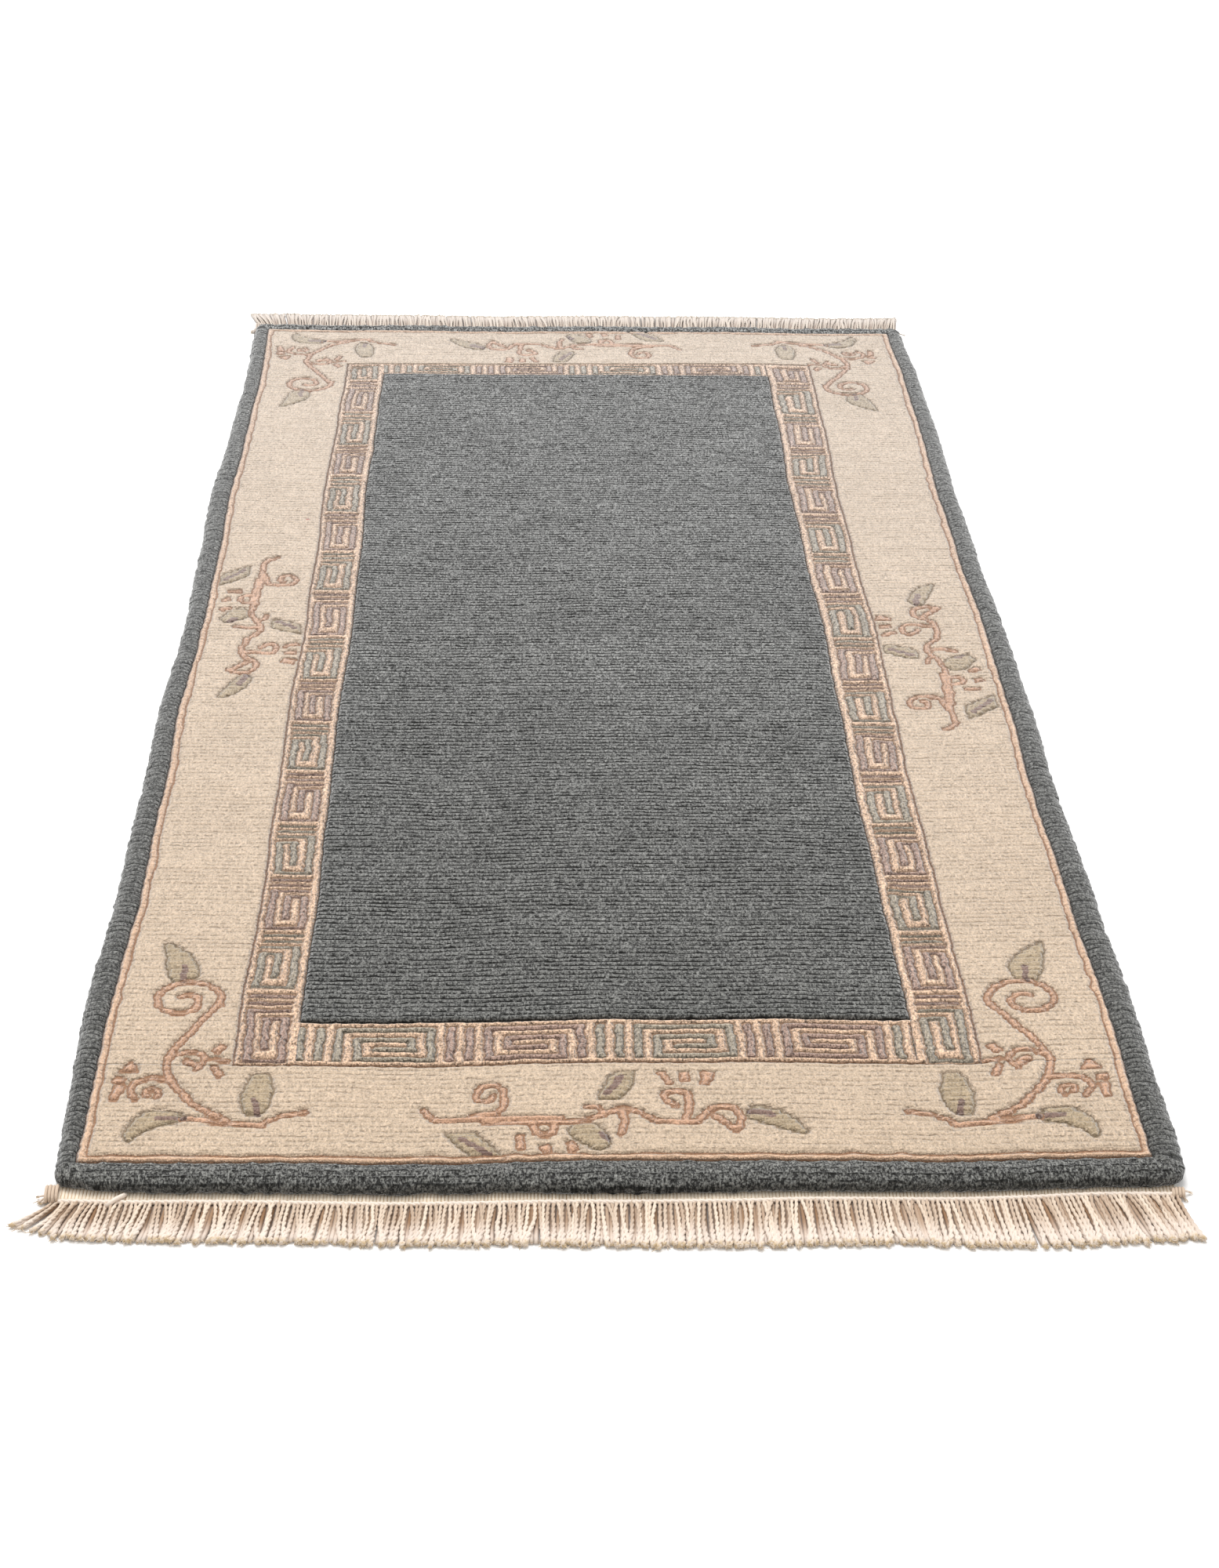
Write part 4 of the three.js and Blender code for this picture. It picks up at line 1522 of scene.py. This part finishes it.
def abrash_and_far_sheen_group():
    """Slow changes of tone from one batch of dyed yarn to the next and in worn patches, and a painted sheen
    that pales the wool towards the far end.
    """
    inputs = {"Vector": None, "Base Color": MID_GREY, "Tone": 0.5, "Amount": 0.1, "Far Sheen": 0.15}
    group, tree, given, result = new_group("Abrash and Far Sheen", inputs, ("Color",))
    place = given["Vector"]
    _, along, _ = tree.split(place)
    # Painted sheen: the base colour is mixed towards a pale grey at the far end of the rug.
    base = tree.mix(tree.between(along, *FAR_SHEEN_SPAN) * given["Far Sheen"], given["Base Color"], FAR_SHEEN_TONE)
    batches = tree.noise(place, DYE_BATCH_SCALE, roughness=0.5)
    patches = tree.noise(place, PATCH_SCALE, detail=3)
    tone = batches + patches - 1.0 + (given["Tone"] - 0.5)
    tree.feed(result["Color"], tree.dimmed(base, tone * given["Amount"] + 1.0))
    return group


FUZZ_SCALE = 700
FUZZ_REACH = 1.6


def soft_edge_group():
    """Turns a depth inside a drawn shape into a mask with a woolly edge."""
    group, tree, given, result = new_group("Soft edge", {"Vector": None, "Depth": 0.0}, ("Mask",))
    fuzz = tree.noise(given["Vector"], FUZZ_SCALE)
    depth = given["Depth"] + (fuzz - 0.5) * FUZZ_REACH
    tree.feed(result["Mask"], tree.between(depth, -0.3, 0.3))
    return group


SHARED_GROUPS = {
    "Knot rows": knot_rows_group,
    "Wool nap": wool_nap_group,
    "Abrash and Far Sheen": abrash_and_far_sheen_group,
    "Soft edge": soft_edge_group,
}


# Materials

def finish_material(tree, color, height, bump_distance, sheen):
    bump = tree.signal("ShaderNodeBump", {"Height": height, "Strength": 0.9, "Distance": bump_distance})
    tree.shade({
        "Base Color": color,
        "Roughness": 0.95,
        "Normal": bump,
        "Sheen Weight": sheen,
        "Sheen Roughness": 0.35,
        "Specular IOR Level": 0.15,
    })


def start_material(name):
    material = bpy.data.materials.new(name)
    material.use_nodes = True
    material.node_tree.nodes.clear()
    return material, Tree(material.node_tree)


# Bump distances in metres.
WOOL_BUMP = 0.0011
KNOT_BACK_BUMP = 0.0006
WEB_BUMP = 0.0005
YARN_BUMP = 0.0004


def wool(name, color_of, outlines=(), parted=0.5, parting_dark=0.7, groove_dark=0.85, bead=0.0,
         contrast=1.0, side_contrast=None, abrash=0.2, far_sheen=0.15, sheen=0.5, gap_dark=0.25):
    """A cut-wool material. color_of builds its colour from the tree and a masking function.

    outlines names the depth attributes whose shapes have a clipped groove round them."""
    material, tree = start_material(name)
    place = tree.place()

    def mask(attribute):
        return tree.shared("Soft edge", {"Vector": place, "Depth": tree.attribute(attribute)})["Mask"]

    rows = tree.shared("Knot rows", {"Vector": place, "Row": tree.attribute("row"), "Share": parted})
    toned = tree.shared("Abrash and Far Sheen", {
        "Vector": place,
        "Base Color": color_of(tree, mask),
        "Tone": rows["Tone"],
        "Amount": abrash,
        "Far Sheen": far_sheen,
    })
    if side_contrast is not None:
        contrast = tree.between(tree.attribute("side"), 0, 1, contrast, side_contrast)
    # Painted shade for the row partings and the edge's notches, darkened in the Wool nap group.
    gap = tree.attribute("gap") * gap_dark
    nap = tree.shared("Wool nap", {
        "Vector": place,
        "Base Color": toned["Color"],
        "Parting": tree.math("MAXIMUM", rows["Parting"] * parting_dark, gap),
        "Groove": tree.nearest_outline(outlines),
        "Bead": rows["Bead"] * bead,
        "Groove Darkness": groove_dark,
        "Contrast": contrast,
    })
    finish_material(tree, nap["Color"], nap["Height"], WOOL_BUMP, nap["Open"] * sheen)
    return material


def field_wool(c):
    return wool("Grey-green wool", lambda tree, mask: c.field, parted=0.85, parting_dark=1.0,
                contrast=3.5, abrash=0.5, far_sheen=0.19, sheen=0.8)


def edge_wool(c):
    def color(tree, mask):
        # Painted shade: the foot of the edge is mixed towards a darker wool colour.
        return tree.mix(tree.attribute("deep"), c.field, c.field_deep)
    return wool("Edge wool", color, parted=0.7, parting_dark=0.8, groove_dark=0.6, contrast=5.0,
                side_contrast=3.3, sheen=0.85, gap_dark=1.0)


def key_wool(c):
    def color(tree, mask):
        bars = tree.mix(tree.between(tree.attribute("mauve"), 0.4, 0.6), c.grey, c.mauve)
        return tree.mix(mask("bar"), c.peach, bars)
    return wool("Key border wool", color, outlines=("bar",), parted=0.4, parting_dark=0.45,
                groove_dark=0.66, bead=1.0, contrast=1.9, far_sheen=0.28, sheen=0.7)


# One stray red-brown knot in the pale border: its place in metres, and where its colour ends.
RED_KNOT = (-0.2565, 0.212, 0.0125)
RED_KNOT_SPAN = (0.0024, 0.0014)
RED_KNOT_COLOR = (0.36, 0.12, 0.07, 1)

# Painted shade: the warm brown painted deep in the grooves beside the stems, the thin line and the key
# border.
GROOVE_SHADE_BROWN = (0.60, 0.36, 0.225, 1)
GROOVE_SHADE_SPAN = (1.1, 0.3)


def pale_wool(c):
    def color(tree, mask):
        found = c.pale
        for shape, shade in (("leaf", c.olive), ("stem", c.stem), ("vein", c.vein), ("thin", c.salmon)):
            found = tree.mix(mask(shape), found, shade)
        # Painted shade in the grooves beside the stems and the band lines.
        beside = tree.nearest_outline(("stem", "thin"))
        found = tree.mix(tree.between(beside, *GROOVE_SHADE_SPAN), found, GROOVE_SHADE_BROWN)
        inputs = {0: tree.place(), 1: RED_KNOT}
        spot = tree.signal("ShaderNodeVectorMath", inputs, output="Value", operation="DISTANCE")
        return tree.mix(tree.between(spot, *RED_KNOT_SPAN), found, RED_KNOT_COLOR)
    return wool("Pale border wool", color, outlines=("thin", "stem", "leaf"), parted=0.55, parting_dark=0.5,
                groove_dark=0.62, bead=0.4, contrast=0.8, abrash=0.12, far_sheen=0.28, sheen=0.8)


# Bands of the underside from the outside inward: half width and half length in metres, and colour.
BACK_BANDS = (
    (0.336, 0.6655, "salmon"), (0.330, 0.660, "pale"), (0.245, 0.574, "peach"), (0.202, 0.538, "field"),
)
BACK_BLUR = 0.001


def knot_backs(c):
    """The underside: rows of knot backs, with the pattern's bands in plain colours."""
    material, tree = start_material("Knot backs")
    place = tree.place()
    across, along, _ = tree.split(place)

    off_x, off_y = abs(across), abs(along)

    def within(half_size, off):
        return tree.between(off, half_size + BACK_BLUR, half_size - BACK_BLUR)

    found = c.field
    for half_width, half_length, name in BACK_BANDS:
        band = within(half_width, off_x) * within(half_length, off_y)
        found = tree.mix(band, found, getattr(c, name))
    rows = tree.math("SINE", along * (2 * math.pi / (ROW * MM)))
    knots = tree.math("SINE", across * (2 * math.pi / (RIB_PITCH * MM)))
    height = rows + rows * knots * 0.5 + tree.noise(place, 900, detail=3)
    color = tree.mix(tree.between(rows, -0.4, -1.0) * 0.4, found, c.cotton)
    finish_material(tree, color, height, KNOT_BACK_BUMP, 0.2)
    return material


# The grey that the cotton is mixed towards at the far end, where along the rug in metres, and how much.
GREY_COTTON = (0.37, 0.37, 0.37, 1)
GREYING_SPAN = (-0.6, 0.7)
GREYING = 0.45


def far_end_greyer(tree, color):
    """Cotton colour, greyer towards the far end of the rug."""
    _, along, _ = tree.split(tree.place())
    return tree.mix(tree.between(along, *GREYING_SPAN, 0.0, GREYING), color, GREY_COTTON)


def cotton_web(c):
    material, tree = start_material("Ribbed cotton")
    hairs = tree.noise(tree.place(), (900, 260, 500), detail=3)
    tone = tree.attribute("tone") * 0.12 + 0.9 + (hairs - 0.5) * 0.3
    lit = tree.dimmed(c.cotton[:3], tone)
    # Painted shade between the ribs of the web.
    color = tree.mix(tree.between(tree.attribute("deep"), 0.35, 0.95), lit, c.cotton_deep)
    finish_material(tree, far_end_greyer(tree, color), hairs, WEB_BUMP, 0.5)
    return material


# Where along a strand its yarn loosens and its cut end begins, as shares of its length.
LOOSE_SPAN = (0.35, 0.9)
CUT_END_SPAN = (0.86, 0.98)


def fringe_yarn(c):
    material, tree = start_material("Cotton yarn")
    hairs = tree.noise(tree.place(), (1400, 500, 1400), detail=3, roughness=0.65)
    along = tree.attribute("along")
    # Low tones give the dark warm yarn: painted shade for the lower layer, and a darker tone for some top
    # strands.
    base = tree.mix(tree.attribute("tone"), c.yarn_warm, c.yarn)
    base = tree.mix(tree.between(along, *LOOSE_SPAN, 0.0, 0.8), base, c.yarn_loose)
    lit = tree.dimmed(base, (hairs - 0.5) * 0.35 + 1.0)
    specks = tree.between(tree.noise(tree.place(), 420, roughness=0.7), 0.42, 0.58, 0.25, 1.0)
    found = tree.mix(tree.between(along, *CUT_END_SPAN) * specks, lit, c.yarn_tip)
    finish_material(tree, far_end_greyer(tree, found), hairs, YARN_BUMP, 0.25)
    return material


# Settings

def color_property(name, description, red, green, blue):
    return bpy.props.FloatVectorProperty(
        name=name, description=description, subtype="COLOR", size=4, min=0, max=1,
        default=linear(red, green, blue),
    )


class RugColors(bpy.types.PropertyGroup):
    """Colours of the rug's wool and cotton."""
    field: color_property("Field", "Grey-green wool of the field and the outer edge", 90, 90, 87)
    pale: color_property("Pale border", "Cream wool of the wide border", 202, 180, 156)
    field_deep: color_property("Edge foot", "Wool low down on the outer edge, in its own shade", 47, 47, 43)
    salmon: color_property("Thin line", "Wool of the thin line inside the edge", 217, 182, 153)
    peach: color_property("Key ground", "Wool round the key border's bars", 212, 179, 151)
    grey: color_property("Grey bars", "Grey-green bars of the key border", 160, 149, 132)
    mauve: color_property("Mauve bars", "Mauve bars of the key border", 165, 138, 124)
    stem: color_property("Stems", "Stems, curls and petals of the vines", 207, 165, 136)
    olive: color_property("Leaves", "Leaves of the vines", 178, 158, 130)
    vein: color_property("Leaf veins", "Veins and stripes of the leaves", 134, 109, 98)
    cotton: color_property("Woven ends", "Cotton of the ribbed woven ends", 250, 236, 216)
    cotton_deep: color_property("Between ribs", "Cotton in the shade between two ribs", 196, 160, 116)
    yarn: color_property("Fringe yarn", "Light strands of the fringe", 231, 214, 195)
    # Used as painted shade by the fringe's lower layer, and as a darker tone by some top strands.
    yarn_warm: color_property("Warm yarn", "Darker strands of the fringe", 146, 110, 78)
    yarn_loose: color_property("Loosened yarn", "Untwisted, whiter yarn near the cut ends", 236, 223, 212)
    yarn_tip: color_property("Cut ends", "Frayed cut ends of the fringe", 205, 181, 146)


class RugStage(bpy.types.PropertyGroup):
    """Floor, light and lens."""
    floor: color_property("Floor", "Plain pale floor", 251, 251, 251)
    key_power: bpy.props.FloatProperty(
        name="Soft light", description="Power of the large light above and behind the rug",
        default=119, min=0, subtype="POWER")
    sky: bpy.props.FloatProperty(
        name="Surrounding light", description="Strength of the even light from all round",
        default=0.80, min=0)
    lens: bpy.props.FloatProperty(
        name="Lens", description="Focal length for a 36 mm long side", default=55.254, min=10, subtype="NONE")


class SceneStep:
    """What all of the rug's operators share."""
    bl_options = {"REGISTER", "UNDO"}


class RUG_OT_stage(SceneStep, bpy.types.Operator):
    """Add the camera, the pale floor and the soft light"""
    bl_idname = "rug.stage"
    bl_label = "Stage"

    def execute(self, context):
        settings = context.scene.rug_stage
        add_camera(context.scene, settings.lens)
        add_floor(tuple(settings.floor))
        add_lights(context.scene, settings)
        return {"FINISHED"}


# The photographed view: camera place from the pile's middle in millimetres, angles in degrees.
CAMERA_PLACE = (-54.7, -1793.8, 1026.0)
CAMERA_DOWN = 33.041
CAMERA_RIGHT = 2.248
CAMERA_TILT = 1.229


def add_camera(scene, lens):
    camera = bpy.data.cameras.new("Camera")
    camera.sensor_fit = "VERTICAL"
    camera.sensor_height = 36
    camera.lens = lens
    camera.clip_end = 50
    holder = bpy.data.objects.new("Camera", camera)
    scene.collection.objects.link(holder)
    turn = Matrix.Rotation(-math.radians(CAMERA_RIGHT), 4, "Z")
    down = Matrix.Rotation(math.radians(90 - CAMERA_DOWN), 4, "X")
    tilt = Matrix.Rotation(math.radians(CAMERA_TILT), 4, "Z")
    x, y, z = CAMERA_PLACE
    shift = Matrix.Translation(((x + SHIFT_X) * MM, (y + SHIFT_Y) * MM, z * MM))
    holder.matrix_world = shift @ turn @ down @ tilt
    scene.camera = holder


# The floor's half width and how far it lies under the rug, in metres.
FLOOR_HALF = 9.0
FLOOR_DROP = 0.0004


def add_floor(color):
    corners = [(-1, -1), (1, -1), (1, 1), (-1, 1)]
    points = [(x * FLOOR_HALF, y * FLOOR_HALF, -FLOOR_DROP) for x, y in corners]
    mesh = bpy.data.meshes.new("floor")
    mesh.from_pydata(points, [], [(0, 1, 2, 3)])
    floor = bpy.data.objects.new("floor", mesh)
    bpy.context.scene.collection.objects.link(floor)
    material, tree = start_material("Pale floor")
    grain = tree.noise(tree.place(), 30, detail=3, roughness=0.5)
    roughness = tree.between(grain, 0.2, 0.8, 0.75, 0.85)
    tree.shade({"Base Color": color, "Roughness": roughness, "Specular IOR Level": 0.2})
    mesh.materials.append(material)
    floor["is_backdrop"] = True


# The soft light's width and place in metres, and the colour of the even light.
LIGHT_SIZE = 2.4
LIGHT_PLACE = (-0.42, 1.0, 3.15)
SKY_COLOR = (1, 0.99, 0.975, 1)


def add_lights(scene, settings):
    world = bpy.data.worlds.new("Studio")
    world.use_nodes = True
    background = world.node_tree.nodes["Background"]
    background.inputs["Color"].default_value = SKY_COLOR
    background.inputs["Strength"].default_value = settings.sky
    scene.world = world
    light = bpy.data.lights.new("Softbox", "AREA")
    light.shape = "SQUARE"
    light.size = LIGHT_SIZE
    light.energy = settings.key_power
    holder = bpy.data.objects.new("Softbox", light)
    scene.collection.objects.link(holder)
    holder.location = LIGHT_PLACE
    holder.rotation_euler = Vector(LIGHT_PLACE).to_track_quat("Z", "Y").to_euler()
    scene.view_settings.view_transform = "Standard"
    scene.view_settings.look = "None"


class RUG_OT_ground(SceneStep, bpy.types.Operator):
    """Add the foundation under the pile, with the backs of the knots"""
    bl_idname = "rug.ground"
    bl_label = "Foundation"

    def execute(self, context):
        finish_pile_piece(build_ground(knot_backs(context.scene.rug_colors)))
        return {"FINISHED"}


def finish_pile_piece(piece):
    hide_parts("pile")


class RUG_OT_field(SceneStep, bpy.types.Operator):
    """Add the plain field"""
    bl_idname = "rug.field"
    bl_label = "Field"

    def execute(self, context):
        finish_pile_piece(build_field(field_wool(context.scene.rug_colors)))
        return {"FINISHED"}


class RUG_OT_key_border(SceneStep, bpy.types.Operator):
    """Add the key border round the field"""
    bl_idname = "rug.key_border"
    bl_label = "Key border"

    def execute(self, context):
        finish_pile_piece(build_key_border(key_wool(context.scene.rug_colors)))
        return {"FINISHED"}


class RUG_OT_pale_border(SceneStep, bpy.types.Operator):
    """Add the four sides of the pale border with their vines"""
    bl_idname = "rug.pale_border"
    bl_label = "Pale border"

    def execute(self, context):
        for piece in build_pale_border(pale_wool(context.scene.rug_colors)):
            finish_pile_piece(piece)
        return {"FINISHED"}


class RUG_OT_outer_edge(SceneStep, bpy.types.Operator):
    """Add the tufted outer edge"""
    bl_idname = "rug.outer_edge"
    bl_label = "Outer edge"

    def execute(self, context):
        finish_pile_piece(build_outer_edge(edge_wool(context.scene.rug_colors)))
        return {"FINISHED"}


class RUG_OT_woven_ends(SceneStep, bpy.types.Operator):
    """Add the ribbed woven strip at both ends"""
    bl_idname = "rug.woven_ends"
    bl_label = "Woven ends"

    def execute(self, context):
        material = cotton_web(context.scene.rug_colors)
        for side in ENDS:
            piece = build_web(side, material)
            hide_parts("woven_end_" + side)
        return {"FINISHED"}


class RUG_OT_fringes(SceneStep, bpy.types.Operator):
    """Add the twined cords, the corner knots and the fringe strands"""
    bl_idname = "rug.fringes"
    bl_label = "Fringes"

    def execute(self, context):
        material = fringe_yarn(context.scene.rug_colors)
        for side in ENDS:
            for piece in build_fringe(side, material):
                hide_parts("fringe_" + side)
        return {"FINISHED"}


class VIEW3D_PT_rug(bpy.types.Panel):
    """Lists the rug's steps and settings"""
    bl_label = "Rug"
    bl_idname = "VIEW3D_PT_rug"
    bl_space_type = "VIEW_3D"
    bl_region_type = "UI"
    bl_category = "Rug"

    def draw(self, context):
        layout = self.layout
        for step in STEPS:
            layout.operator(step.bl_idname)
        for settings in (context.scene.rug_colors, context.scene.rug_stage):
            column = layout.column()
            for key in settings.__annotations__:
                column.prop(settings, key)


STEPS = (
    RUG_OT_stage, RUG_OT_ground, RUG_OT_field, RUG_OT_key_border, RUG_OT_pale_border,
    RUG_OT_outer_edge, RUG_OT_woven_ends, RUG_OT_fringes,
)
CLASSES = (RugColors, RugStage, *STEPS, VIEW3D_PT_rug)


def register():
    for cls in CLASSES:
        bpy.utils.register_class(cls)
    bpy.types.Scene.rug_colors = bpy.props.PointerProperty(type=RugColors)
    bpy.types.Scene.rug_stage = bpy.props.PointerProperty(type=RugStage)


def unregister():
    del bpy.types.Scene.rug_stage
    del bpy.types.Scene.rug_colors
    for cls in reversed(CLASSES):
        bpy.utils.unregister_class(cls)


def main():
    register()
    for step in STEPS:
        group, name = step.bl_idname.split(".")
        getattr(getattr(bpy.ops, group), name)()


if __name__ == "__main__":
    main()
